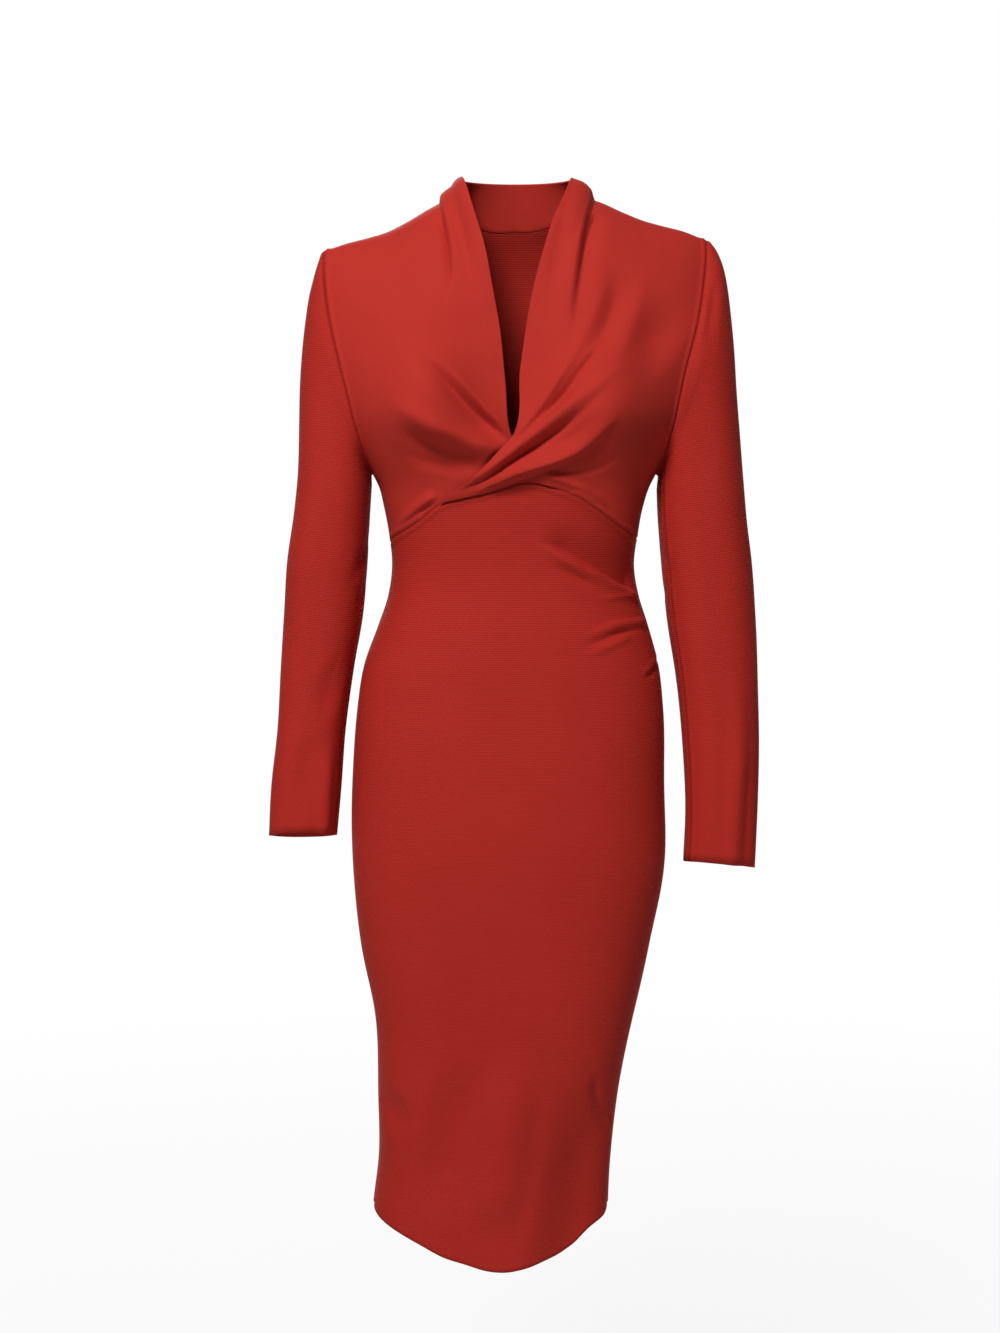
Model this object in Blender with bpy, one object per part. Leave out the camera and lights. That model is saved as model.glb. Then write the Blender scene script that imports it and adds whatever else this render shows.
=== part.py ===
"""Long-sleeved bandage dress with crossed bodice fronts and a pencil skirt.

Metres, +Z up. The front faces -Y and the wearer's left is +X. The origin lies
between the shoulders at the height where the neck meets them, because the
wearer's shoulders carry the dress.

Seven knitted pieces are sewn edge to edge: the right front (under), the left
front (over, with its pleats gathered into the seam under the bust), a neck band
round the back of the neck, two sleeves, one back and one front skirt. Each is a
wall of cloth that follows one body surface, given by the sections in BODY.

The surface is addressed by (across, z): across is -1 at the wearer's right
side seam or armhole, 0 at the centre and +1 at the left.
"""
import math

import bmesh
import bpy
import numpy as np
from mathutils import kdtree

# Cloth
WALL = 0.002                # thickness of the knit
SEAM_GAP = 0.0003           # clearance between two sewn pieces
MEETING = 0.00002           # edge points closer than this are sewn to each other
LAP_LIFT = 0.0032           # how far the left front lies above the right one
LAP_FULL = 0.016            # distance from the lap within which it is lifted fully
LAP_NONE = 0.036            # and beyond which it is not lifted

# Body sections: height, right half-width, left half-width, front depth, back depth,
# and the degrees round the section at which the armhole seam lies (90 at the side seam).
BODY_COLUMNS = ("z", "right", "left", "front", "back", "seam")
BODY = (
    (+0.080, 0.1965, 0.1965, 0.076, 0.078, 73.0),
    (+0.000, 0.1965, 0.1965, 0.076, 0.078, 73.0),
    (-0.045, 0.1965, 0.1965, 0.078, 0.082, 73.0),
    (-0.080, 0.2010, 0.1990, 0.080, 0.087, 68.0),
    (-0.130, 0.2020, 0.1990, 0.085, 0.094, 62.0),
    (-0.170, 0.1925, 0.1885, 0.091, 0.098, 61.0),
    (-0.210, 0.1745, 0.1720, 0.097, 0.099, 65.0),
    (-0.240, 0.1560, 0.1540, 0.099, 0.097, 74.0),
    (-0.256, 0.1470, 0.1450, 0.099, 0.095, 82.0),
    (-0.268, 0.1403, 0.1385, 0.098, 0.093, 90.0),
    (-0.282, 0.1335, 0.1315, 0.096, 0.090, 90.0),
    (-0.300, 0.1290, 0.1260, 0.094, 0.087, 90.0),
    (-0.330, 0.1235, 0.1205, 0.090, 0.082, 90.0),
    (-0.360, 0.1210, 0.1170, 0.087, 0.080, 90.0),
    (-0.390, 0.1250, 0.1215, 0.087, 0.083, 90.0),
    (-0.420, 0.1350, 0.1310, 0.090, 0.091, 90.0),
    (-0.460, 0.1490, 0.1420, 0.094, 0.102, 90.0),
    (-0.500, 0.1560, 0.1470, 0.097, 0.110, 90.0),
    (-0.580, 0.1620, 0.1490, 0.100, 0.116, 90.0),
    (-0.660, 0.1620, 0.1490, 0.099, 0.110, 90.0),
    (-0.740, 0.1540, 0.1350, 0.095, 0.098, 90.0),
    (-0.820, 0.1395, 0.1172, 0.090, 0.088, 90.0),
    (-0.900, 0.1368, 0.1020, 0.086, 0.083, 90.0),
    (-0.960, 0.1366, 0.0960, 0.084, 0.082, 90.0),
    (-1.010, 0.1424, 0.0938, 0.084, 0.083, 90.0),
    (-1.080, 0.1470, 0.0940, 0.084, 0.083, 90.0),
)
TORSO_ROUND = 2.3           # exponent of a section: 2 is an ellipse, more is boxier
SKIRT_ROUND = 2.8           # the same from the hips down
WAIST_TOP = -0.3450         # the exponent changes between here
HIPS = -0.4600              # and here

# Shoulder ridge: distance from the centre, height on the right, height on the left
RIDGE_COLUMNS = ("x", "right", "left")
RIDGE = (
    (0.0000, +0.0190, +0.0190),
    (0.0500, +0.0062, +0.0088),
    (0.0700, -0.0020, +0.0010),
    (0.0850, -0.0100, -0.0040),
    (0.1050, -0.0220, -0.0130),
    (0.1250, -0.0320, -0.0210),
    (0.1450, -0.0380, -0.0265),
    (0.1650, -0.0430, -0.0315),
    (0.1875, -0.0500, -0.0400),
)
HIGH = 0.0                  # a height above the shoulders, for their sections
ROLL = 0.120                # height over which the shoulder rounds to full depth
ROLL_LENGTH = 0.160         # the same, measured over the surface

ARMPIT = -0.2680
SIDE_END = (-0.3390, -0.3340)    # right and left ends of the seam under the bust
HEM_SIDE = -1.0090

# Front hem: share of the half-width from the middle, and height
HEM_COLUMNS = ("share", "z")
FRONT_HEM = (
    (-1.000, -1.0090),
    (-0.840, -1.0165),
    (-0.600, -1.0284),
    (-0.370, -1.0410),
    (-0.210, -1.0465),
    (+0.000, -1.0538),
    (+0.150, -1.0548),
    (+0.280, -1.0520),
    (+0.420, -1.0478),
    (+0.660, -1.0394),
    (+0.760, -1.0330),
    (+0.885, -1.0190),
    (+1.000, -1.0090),
)

# Soft fullness over each bust cup
CUP_X = 0.088
CUP_Z = -0.212
CUP_RISE = 0.027
CUP_WIDE = 0.048
CUP_HIGH = 0.056
CUP_SIDE = 2.5              # how sharply the fullness ends at the side seam

# Seam under the bust, from the wearer's right to the left, between the side seams
UNDERBUST_COLUMNS = ("x", "z")
UNDERBUST = (
    (-0.092, -0.3140),
    (-0.071, -0.2980),
    (-0.050, -0.2925),
    (-0.021, -0.2860),
    (+0.012, -0.2770),
    (+0.034, -0.2820),
    (+0.062, -0.2930),
    (+0.080, -0.3050),
    (+0.100, -0.3200),
)
TAIL = (-0.071, -0.2980)      # (x, z) where the left front's gathered end is caught in the seam
TUCKED = (0.014, -0.2770)     # where the right front's hidden end is caught in it
LAP_TIP = (-0.004, -0.2350)   # where the two necklines cross

# Neckline edges, from the caught end up to the shoulder ridge
NECKLINE_COLUMNS = ("x", "z")
NECKLINE_LEFT = (
    (-0.066, -0.2910),
    (-0.044, -0.2755),
    (-0.017, -0.2490),
    (-0.004, -0.2350),
    (+0.004, -0.1720),
    (+0.014, -0.1060),
    (+0.023, -0.0680),
    (+0.033, -0.0350),
    (+0.044, -0.0100),
)
NECKLINE_RIGHT = (
    (+0.004, -0.2520),
    (-0.006, -0.2280),
    (-0.010, -0.1810),
    (-0.015, -0.1310),
    (-0.021, -0.0970),
    (-0.028, -0.0580),
    (-0.038, -0.0230),
)
NECK_TOP_X = (0.049, 0.052)      # neckline edge at the shoulder ridge: right, left
BAND_FOOT_X = 0.080         # where the neck band meets the shoulder seam
NECK_BACK = 0.060           # depth of the neck seam behind the centre
BAND_TOP = (0.050, 0.022)   # depth and height of the band's upper edge at the centre back

# Folds: the three points that each one runs through, as (x, z) on the front,
# its height, its reach above and below its crest, and the share of its length
# over which it rises at its start and sinks at its end.
FOLD_COLUMNS = ("x0", "z0", "x1", "z1", "x2", "z2", "height", "above", "below", "rise", "sink")
LEFT_FOLDS = (
    (+0.086, -0.186, -0.003, -0.245, -0.066, -0.294, 0.0065, 0.020, 0.012, 0.50, 0.25),
    (+0.088, -0.229, +0.014, -0.264, -0.056, -0.293, 0.0075, 0.016, 0.014, 0.35, 0.30),
    (+0.067, -0.139, +0.033, -0.193, -0.003, -0.237, 0.0030, 0.020, 0.012, 0.50, 0.20),
    (+0.099, -0.080, +0.090, -0.116, +0.057, -0.166, -0.0045, 0.020, 0.026, 0.40, 0.50),
)
RIGHT_FOLDS = (
    (-0.088, -0.161, -0.039, -0.209, -0.010, -0.234, 0.0030, 0.020, 0.010, 0.50, 0.15),
    (-0.108, -0.216, -0.060, -0.231, -0.022, -0.247, 0.0065, 0.022, 0.012, 0.45, 0.15),
)
# The neckline's own soft roll: highest at the neck, where it stands up
LEFT_ROLL = (+0.050, +0.008, +0.046, -0.040, +0.034, -0.120, 0.0150, 0.040, 0.026, 0.00, 1.00)
RIGHT_ROLL = (-0.049, +0.006, -0.046, -0.036, -0.040, -0.105, 0.0150, 0.040, 0.026, 0.00, 1.00)
SKIRT_FOLDS = (
    (+0.028, -0.335, +0.075, -0.359, +0.118, -0.386, 0.0065, 0.013, 0.020, 0.45, 0.12),
    (+0.072, -0.428, +0.100, -0.414, +0.124, -0.413, 0.0050, 0.022, 0.012, 0.45, 0.25),
)
LAP_HIDE = 0.006            # the right front's folds end this far each side of the lap's edge
FOLD_CALM = 0.014           # folds die away within this distance of a sewn edge
FOLD_TURN = 0.004           # width over which a fold changes from one reach to the other

# Sleeve rings, from the armhole to the cuff: outer edge, inner edge, half depth,
# and how far the middle lies forward.
SLEEVE_COLUMNS = ("out_x", "out_z", "in_x", "in_z", "depth", "forward")
RIGHT_SLEEVE = (
    (0.1870, -0.0500, 0.1405, -0.2660, 0.053, -0.002),
    (0.1925, -0.0600, 0.1430, -0.2665, 0.055, -0.001),
    (0.1985, -0.0790, 0.1445, -0.2690, 0.055, 0.000),
    (0.2040, -0.1020, 0.1448, -0.2715, 0.054, 0.000),
    (0.2090, -0.1400, 0.1446, -0.2740, 0.053, 0.000),
    (0.2120, -0.1800, 0.1445, -0.2770, 0.052, 0.000),
    (0.2135, -0.2250, 0.1445, -0.2805, 0.051, 0.000),
    (0.2150, -0.2700, 0.1448, -0.2850, 0.051, 0.000),
    (0.2190, -0.3120, 0.1465, -0.3130, 0.050, 0.001),
    (0.2265, -0.3600, 0.1492, -0.3600, 0.048, 0.003),
    (0.2300, -0.4100, 0.1540, -0.4100, 0.045, 0.005),
    (0.2325, -0.4600, 0.1630, -0.4600, 0.042, 0.009),
    (0.2360, -0.5200, 0.1710, -0.5200, 0.038, 0.014),
    (0.2415, -0.5750, 0.1750, -0.5750, 0.034, 0.019),
    (0.2442, -0.6290, 0.1792, -0.6280, 0.029, 0.025),
)
LEFT_SLEEVE = (
    (0.1880, -0.0400, 0.1385, -0.2680, 0.053, -0.002),
    (0.1965, -0.0480, 0.1415, -0.2680, 0.055, -0.001),
    (0.2045, -0.0660, 0.1432, -0.2698, 0.055, 0.000),
    (0.2100, -0.0930, 0.1436, -0.2722, 0.054, 0.000),
    (0.2150, -0.1400, 0.1434, -0.2750, 0.053, 0.000),
    (0.2180, -0.1850, 0.1430, -0.2785, 0.052, 0.000),
    (0.2220, -0.2300, 0.1428, -0.2825, 0.051, 0.000),
    (0.2255, -0.2720, 0.1426, -0.2875, 0.051, 0.000),
    (0.2295, -0.3150, 0.1435, -0.3170, 0.050, 0.001),
    (0.2355, -0.3620, 0.1470, -0.3620, 0.048, 0.003),
    (0.2390, -0.4150, 0.1535, -0.4150, 0.045, 0.005),
    (0.2412, -0.4700, 0.1620, -0.4700, 0.042, 0.009),
    (0.2430, -0.5300, 0.1680, -0.5300, 0.038, 0.013),
    (0.2415, -0.5950, 0.1713, -0.5950, 0.034, 0.017),
    (0.2388, -0.6615, 0.1696, -0.6550, 0.030, 0.021),
)
CAP_RINGS = 7               # rings over which the armhole's own shape fades out
ARM_ROUND = 2.5             # exponent of a ring from there down
CUFF_TILT = (0.0065, 0.0050)  # how much the cuff's front edge rises: right, left

# Mesh divisions
NECK_COLUMNS = 4            # neckline edge to band foot, along the shoulder
SHOULDER_COLUMNS = 9        # closer together towards the armhole
ARMHOLE_ROWS = 12
SIDE_ROWS = 5               # armpit to the seam under the bust
SKIRT_ROWS = 14
RIGHT_SEAM_STEPS = 8        # right side seam to the tail
LAP_SEAM_STEPS = 5          # tail to the tucked end
LEFT_SEAM_STEPS = 8         # tucked end to the left side seam
BAND_COLUMNS = 8            # round the back of the neck
MITRE_LEAST = 0.75          # keeps the wall at a sharp seam from growing too thick
SKIRT_CROWD = 1.4           # the skirt's rows lie closer together towards its folds
NECKLINE_CROWD = 1.4        # a front's rows lie closer together towards its caught end
FOLD_SAMPLES = 160

RIBBED_RED = (0.490, 0.020, 0.011, 1.0)
SMOOTH_RED = (0.510, 0.021, 0.012, 1.0)
KNIT_ROUGHNESS = 0.78
SHARP_ANGLE = math.radians(50)     # edges that turn more than this are shown sharp


def column(table, names, name):
    """One named column of a table as an array."""
    return np.array([row[names.index(name)] for row in table])


def smooth(knots, values, at):
    """Cubic through the knots, its slope at each the mean of the chords beside it."""
    order = np.argsort(knots)
    knots = np.asarray(knots, float)[order]
    values = np.asarray(values, float)[order]
    at = np.clip(np.asarray(at, float), knots[0], knots[-1])
    step = np.diff(knots)
    chord = np.diff(values) / step
    slope = np.empty_like(values)
    slope[0] = chord[0]
    slope[-1] = chord[-1]
    slope[1:-1] = (chord[:-1] * step[1:] + chord[1:] * step[:-1]) / (step[1:] + step[:-1])
    cell = np.clip(np.searchsorted(knots, at) - 1, 0, len(step) - 1)
    u = (at - knots[cell]) / step[cell]
    return ((1 + 2 * u) * (1 - u) ** 2 * values[cell]
            + u * (1 - u) ** 2 * step[cell] * slope[cell]
            + u * u * (3 - 2 * u) * values[cell + 1]
            + u * u * (u - 1) * step[cell] * slope[cell + 1])


def ease(value):
    """Rise smoothly from 0 at 0 to 1 at 1."""
    value = np.clip(value, 0.0, 1.0)
    return value * value * (3 - 2 * value)


# ------------------------------------------------------------------ body surface

def section(name, z):
    """A value of the body sections at height z."""
    return smooth(column(BODY, BODY_COLUMNS, "z"), column(BODY, BODY_COLUMNS, name), z)


def middle(z):
    """Where the section's middle lies, across the body."""
    return (section("left", z) - section("right", z)) / 2


def half_width(z):
    return (section("left", z) + section("right", z)) / 2


def seam_angle(z):
    """Angle round the section of the armhole seam, or of the side seam: pi/2."""
    return np.radians(np.minimum(section("seam", z), 90.0))


def ridge_height(across):
    """Height of the shoulder ridge above a place across the body."""
    x = half_width(HIGH) * np.sin(np.abs(across) * seam_angle(HIGH))
    knots = column(RIDGE, RIDGE_COLUMNS, "x")
    right = smooth(knots, column(RIDGE, RIDGE_COLUMNS, "right"), x)
    left = smooth(knots, column(RIDGE, RIDGE_COLUMNS, "left"), x)
    return np.where(np.asarray(across) < 0, right, left)


def flank(share, z):
    """Depth of a section, as a share of its greatest, at a share of its half-width."""
    power = TORSO_ROUND + (SKIRT_ROUND - TORSO_ROUND) * ease((WAIST_TOP - z) / (WAIST_TOP - HIPS))
    return np.maximum(1.0 - np.abs(share) ** power, 0.0) ** (1 / power)


def surface(across, z, face):
    """Points of the body surface on one face, "front" or "back"."""
    across = np.asarray(across, float)
    z = np.asarray(z, float)
    share = np.sin(across * seam_angle(z))
    x = middle(z) + half_width(z) * share
    drop = np.clip((ridge_height(across) - z) / ROLL, 0.0, 1.0)
    roll = np.sqrt(drop * (2 - drop))
    if face == "back":
        return np.stack([x, section("back", z) * flank(share, z) * roll, z], axis=-1)
    cup = CUP_RISE * np.exp(-((np.abs(x) - CUP_X) / CUP_WIDE) ** 2 - ((z - CUP_Z) / CUP_HIGH) ** 2)
    side = flank(share, z)
    depth = section("front", z) * side + cup * np.clip(side * CUP_SIDE, 0.0, 1.0)
    return np.stack([x, -depth * roll, z], axis=-1)


def across_of(x, z):
    """Place across the body of a point seen from the front at (x, z)."""
    share = (np.asarray(x, float) - middle(z)) / half_width(z)
    return np.clip(np.arcsin(np.clip(share, -1.0, 1.0)) / seam_angle(z), -1.0, 1.0)


# A flat plan of the surface, in metres, for spacing grid points evenly:
# first the distance across, then the distance down from the shoulder ridge.

PLAN_WIDTH = 0.19
PLAN_SLOPE = ROLL * math.pi / 2 / ROLL_LENGTH


def to_plan(across, z):
    drop = np.maximum(ridge_height(across) - z, 0.0)
    near = np.arccos(1 - np.clip(drop / ROLL, 0.0, 1.0)) * ROLL_LENGTH * 2 / math.pi
    down = np.where(drop < ROLL, near, ROLL_LENGTH + (drop - ROLL) / PLAN_SLOPE)
    return np.stack([np.asarray(across) * PLAN_WIDTH, down], axis=-1)


def from_plan(plan):
    across = np.clip(plan[..., 0] / PLAN_WIDTH, -1.0, 1.0)
    down = plan[..., 1]
    near = ROLL * (1 - np.cos(np.clip(down / ROLL_LENGTH, 0.0, 1.0) * math.pi / 2))
    drop = near + np.maximum(down - ROLL_LENGTH, 0.0) * PLAN_SLOPE
    return across, ridge_height(across) - drop


def spaced(points, shares):
    """Points at the given shares of the length of a smooth curve through points."""
    points = np.asarray(points, float)
    steps = np.linalg.norm(np.diff(points, axis=0), axis=1)
    reach = np.concatenate([[0.0], np.cumsum(steps)])
    at = np.asarray(shares) * reach[-1]
    return np.stack([smooth(reach, points[:, k], at) for k in range(points.shape[1])], axis=-1)


# ------------------------------------------------------------------ seams

def side_heights(side):
    """Heights down the armhole and side seam, side 0 right and 1 left."""
    tip = RIDGE[-1][1 + side]
    turn = (1 - np.cos(np.linspace(0.0, math.pi, ARMHOLE_ROWS + 1))) / 2
    armhole = tip + (ARMPIT - tip) * turn
    waist = np.linspace(ARMPIT, SIDE_END[side], SIDE_ROWS + 1)
    share = np.linspace(0.0, 1.0, SKIRT_ROWS + 1) ** SKIRT_CROWD
    skirt = SIDE_END[side] + (HEM_SIDE - SIDE_END[side]) * share
    return np.concatenate([armhole, waist[1:], skirt[1:]])


def underbust_plan():
    """The seam under the bust on the plan, from the right side seam to the left."""
    x = column(UNDERBUST, UNDERBUST_COLUMNS, "x")
    z = column(UNDERBUST, UNDERBUST_COLUMNS, "z")
    across = np.concatenate([[-1.0], across_of(x, z), [1.0]])
    height = np.concatenate([[SIDE_END[0]], z, [SIDE_END[1]]])
    return across, height


def underbust_points():
    """(across, z) of each point where the bodice is sewn to the skirt."""
    across, height = underbust_plan()
    tail = float(across_of(*TAIL))
    tucked = float(across_of(*TUCKED))
    stops = np.concatenate([
        np.linspace(-1.0, tail, RIGHT_SEAM_STEPS + 1),
        np.linspace(tail, tucked, LAP_SEAM_STEPS + 1)[1:],
        np.linspace(tucked, 1.0, LEFT_SEAM_STEPS + 1)[1:],
    ])
    return stops, smooth(across, height, stops)


def shoulder_stops(side):
    """across of each point along the shoulder, from the neckline to the armhole."""
    sign = 1 if side else -1
    neckline, foot = across_of(sign * np.array([NECK_TOP_X[side], BAND_FOOT_X]), HIGH)
    share = np.sin(np.linspace(0.0, math.pi / 2, SHOULDER_COLUMNS + 1))[1:]
    return np.concatenate([np.linspace(neckline, foot, NECK_COLUMNS + 1), foot + (sign - foot) * share])


# ------------------------------------------------------------------ folds

def fold_path(row):
    """Points of the body surface along a fold's crest."""
    x0, z0, x1, z1, x2, z2 = row[:6]
    u = np.linspace(0.0, 2.0, FOLD_SAMPLES)
    x = smooth((0, 1, 2), (x0, x1, x2), u)
    z = smooth((0, 1, 2), (z0, z1, z2), u)
    return surface(across_of(x, z), z, "front")


def nearest(points, path):
    """Distance, place along and signed side (+ above) of points from a path."""
    flat = points.reshape(-1, 3)
    gap = np.linalg.norm(flat[:, None, :] - path[None, :, :], axis=2)
    index = np.argmin(gap, axis=1)
    distance = gap[np.arange(len(flat)), index]
    tangent = np.gradient(path, axis=0)
    upward = np.stack([-tangent[:, 2], np.zeros(len(path)), tangent[:, 0]], axis=1)
    upward *= (np.sign(upward[:, 2] + 1e-9) / np.linalg.norm(upward, axis=1))[:, None]
    side = np.einsum("ij,ij->i", flat - path[index], upward[index])
    shape = points.shape[:-1]
    along = index / (len(path) - 1)
    return distance.reshape(shape), along.reshape(shape), side.reshape(shape)


def fold_height(points, row):
    """How far one fold lifts each point."""
    height, above, below, rise, sink = row[6:]
    distance, along, side = nearest(points, fold_path(row))
    reach = below + (above - below) * ease(0.5 + side / FOLD_TURN)
    swell = np.clip(1 - (distance / reach) ** 2, 0.0, 1.0) ** 2
    start = ease(along / rise) if rise else 1.0
    end = ease((1 - along) / sink) if sink else 1.0
    return height * swell * start * end


def lap_lift(points):
    """Lift of the left front where it lies on the right one."""
    corners = np.array([TAIL, LAP_TIP, TUCKED, TAIL])
    path = spaced(corners, np.linspace(0.0, 1.0, FOLD_SAMPLES))
    crest = surface(across_of(path[:, 0], path[:, 1]), path[:, 1], "front")
    distance, _, _ = nearest(points, crest)
    return LAP_LIFT * ease((LAP_NONE - distance) / (LAP_NONE - LAP_FULL))


def calm_by_seam(points):
    """0 on the sewn part of the seam under the bust, 1 away from it."""
    across, height = underbust_plan()
    stops = np.linspace(float(across_of(TUCKED[0] + LAP_NONE, TUCKED[1])), 1.0, FOLD_SAMPLES)
    distance, _, _ = nearest(points, surface(stops, smooth(across, height, stops), "front"))
    return ease(distance / FOLD_CALM)


def calm_under_lap(points):
    """0 where the right front lies under the left one, 1 where it shows."""
    x = column(NECKLINE_LEFT, NECKLINE_COLUMNS, "x")
    z = column(NECKLINE_LEFT, NECKLINE_COLUMNS, "z")
    edge = spaced(np.stack([x, z], axis=1), np.linspace(0.0, 1.0, FOLD_SAMPLES))
    _, _, side = nearest(points, surface(across_of(edge[:, 0], edge[:, 1]), edge[:, 1], "front"))
    return ease((side + LAP_HIDE) / (2 * LAP_HIDE))


# ------------------------------------------------------------------ pieces
# A piece is a grid of points along the middle of its wall. Rows run down the
# body, columns across it, and the outer face is on the side of rows x columns.

def grid_normals(grid, closed=False):
    """Unit normals of a grid of points, outward for the grids made here."""
    down = np.gradient(grid, axis=0)
    if closed:
        over = (np.roll(grid, -1, axis=1) - np.roll(grid, 1, axis=1)) / 2
    else:
        over = np.gradient(grid, axis=1)
    normal = np.cross(over, down)
    return normal / np.maximum(np.linalg.norm(normal, axis=-1, keepdims=True), 1e-12)


def front_plan(side, neckline, seam):
    """Plan of a bodice front: rows up from its seam, columns from its neckline.

    The neckline meets the seam under the bust at the front's caught end, and the
    other two sides are the shoulder, and the side seam with the armhole above it.
    """
    stops = shoulder_stops(side)
    shoulder = to_plan(stops, ridge_height(stops))
    heights = side_heights(side)[ARMHOLE_ROWS + SIDE_ROWS::-1]
    outer = to_plan(np.full(len(heights), stops[-1]), heights)
    x = column(neckline, NECKLINE_COLUMNS, "x")
    z = column(neckline, NECKLINE_COLUMNS, "z")
    edge = np.concatenate([seam[:1], to_plan(across_of(x, z), z), shoulder[:1]])
    inner = spaced(edge, np.linspace(0.0, 1.0, len(outer)) ** NECKLINE_CROWD)
    u = np.linspace(0.0, 1.0, len(seam))[None, :, None]
    v = np.linspace(0.0, 1.0, len(outer))[:, None, None]
    corners = ((1 - u) * (1 - v) * seam[0] + u * (1 - v) * seam[-1]
               + (1 - u) * v * shoulder[0] + u * v * shoulder[-1])
    return ((1 - v) * seam + v * shoulder + (1 - u) * inner[:, None] + u * outer[:, None] - corners)


def bodice_front(side):
    """Middle of the wall of one bodice front, side 0 right (under), 1 left (over)."""
    stops, heights = underbust_points()
    if side:
        seam = to_plan(stops[RIGHT_SEAM_STEPS:], heights[RIGHT_SEAM_STEPS:])
        plan = front_plan(side, NECKLINE_LEFT, seam)
    else:
        last = RIGHT_SEAM_STEPS + LAP_SEAM_STEPS
        seam = to_plan(stops[last::-1], heights[last::-1])
        plan = front_plan(side, NECKLINE_RIGHT, seam)
    across, z = from_plan(plan)
    points = surface(across, z, "front")
    outward = grid_normals(points) * (1 if side else -1)
    lift = fold_height(points, LEFT_ROLL if side else RIGHT_ROLL)
    pleats = sum(fold_height(points, row) for row in (LEFT_FOLDS if side else RIGHT_FOLDS))
    if side:
        lift = lift + pleats * calm_by_seam(points) + lap_lift(points)
    else:
        lift = lift + pleats * calm_under_lap(points)
    return points + outward * lift[..., None]


def front_skirt():
    """Middle of the wall of the front skirt: rows down, columns right to left."""
    stops, top = underbust_points()
    even = np.linspace(-1.0, 1.0, len(stops))
    even = (even + np.sin(even * math.pi / 2)) / 2
    rows = []
    right = side_heights(0)[ARMHOLE_ROWS + SIDE_ROWS:]
    left = side_heights(1)[ARMHOLE_ROWS + SIDE_ROWS:]
    for down_right, down_left in zip(right, left):
        share = np.array([(SIDE_END[0] - down_right) / (SIDE_END[0] - HEM_SIDE),
                          (SIDE_END[1] - down_left) / (SIDE_END[1] - HEM_SIDE)])
        spread = ease(share[0] * 2.0)
        across = stops * (1 - spread) + even * spread
        down = share[0] + (share[1] - share[0]) * (across + 1) / 2
        hem = smooth(column(FRONT_HEM, HEM_COLUMNS, "share"), column(FRONT_HEM, HEM_COLUMNS, "z"),
                     np.sin(across * math.pi / 2))
        rows.append(np.stack([across, top * (1 - down) + hem * down], axis=-1))
    rows = np.array(rows)
    points = surface(rows[..., 0], rows[..., 1], "front")
    lift = sum(fold_height(points, row) for row in SKIRT_FOLDS)
    edge = (1 - np.abs(rows[..., 0])) * PLAN_WIDTH
    return points - grid_normals(points) * (lift * ease(edge / FOLD_CALM))[..., None]


def neck_seam():
    """across of the back's neck seam points and their heights, right to left."""
    turn = np.linspace(math.pi, 0.0, BAND_COLUMNS + 1)
    x = BAND_FOOT_X * np.cos(turn)
    depth = NECK_BACK * np.sin(turn)
    across = across_of(x, HIGH)
    full = section("back", HIGH) * flank(x / half_width(HIGH), HIGH)
    drop = ROLL * (1 - np.sqrt(1 - np.clip(depth / full, 0.0, 1.0) ** 2))
    drop[[0, -1]] = 0.0
    return across, ridge_height(across) - drop


def back():
    """Middle of the wall of the back: rows down, columns right to left."""
    neck_across, neck_z = neck_seam()
    right = shoulder_stops(0)[NECK_COLUMNS:][::-1]
    left = shoulder_stops(1)[NECK_COLUMNS:]
    across = np.concatenate([right, neck_across[1:-1], left])
    top = np.concatenate([ridge_height(right), neck_z[1:-1], ridge_height(left)])
    tips = (RIDGE[-1][1], RIDGE[-1][2])
    rows = []
    for down_right, down_left in zip(side_heights(0), side_heights(1)):
        share_right = (tips[0] - down_right) / (tips[0] - HEM_SIDE)
        share_left = (tips[1] - down_left) / (tips[1] - HEM_SIDE)
        down = share_right + (share_left - share_right) * (across + 1) / 2
        rows.append(top * (1 - down) + HEM_SIDE * down)
    return surface(across + 0 * np.array(rows), np.array(rows), "back")


def neck_band(right_front, left_front):
    """Middle of the wall of the neck band: rows down from its edge, columns right to left."""
    ends = [front[-1, :NECK_COLUMNS + 1] for front in (right_front, left_front)]
    across, z = neck_seam()
    foot = surface(across, z, "back")
    turn = np.linspace(math.pi, 0.0, BAND_COLUMNS + 1)
    columns = []
    for index, angle in enumerate(turn):
        end = ends[0] if index < (len(turn) / 2) else ends[1]
        side_top = end[0]
        top = np.array([abs(side_top[0]) * math.cos(angle),
                        side_top[1] + (BAND_TOP[0] - side_top[1]) * math.sin(angle),
                        side_top[2] + (BAND_TOP[1] - side_top[2]) * math.sin(angle)])
        share = np.linspace(0.0, 1.0, NECK_COLUMNS + 1)[:, None]
        bulge = end - (end[0] * (1 - share) + end[-1] * share)
        columns.append(top * (1 - share) + foot[index] * share + bulge * math.cos(angle) ** 2)
    return np.stack(columns, axis=1)


def ring_shares(turn, at):
    """How far round a sleeve ring lies towards its outer edge and its front, -1 to 1."""
    power = 2 / (2 + (ARM_ROUND - 2) * ease(at / CAP_RINGS))
    over, ahead = np.cos(turn), np.sin(turn)
    return np.sign(over) * np.abs(over) ** power, np.sign(ahead) * np.abs(ahead) ** power


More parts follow.
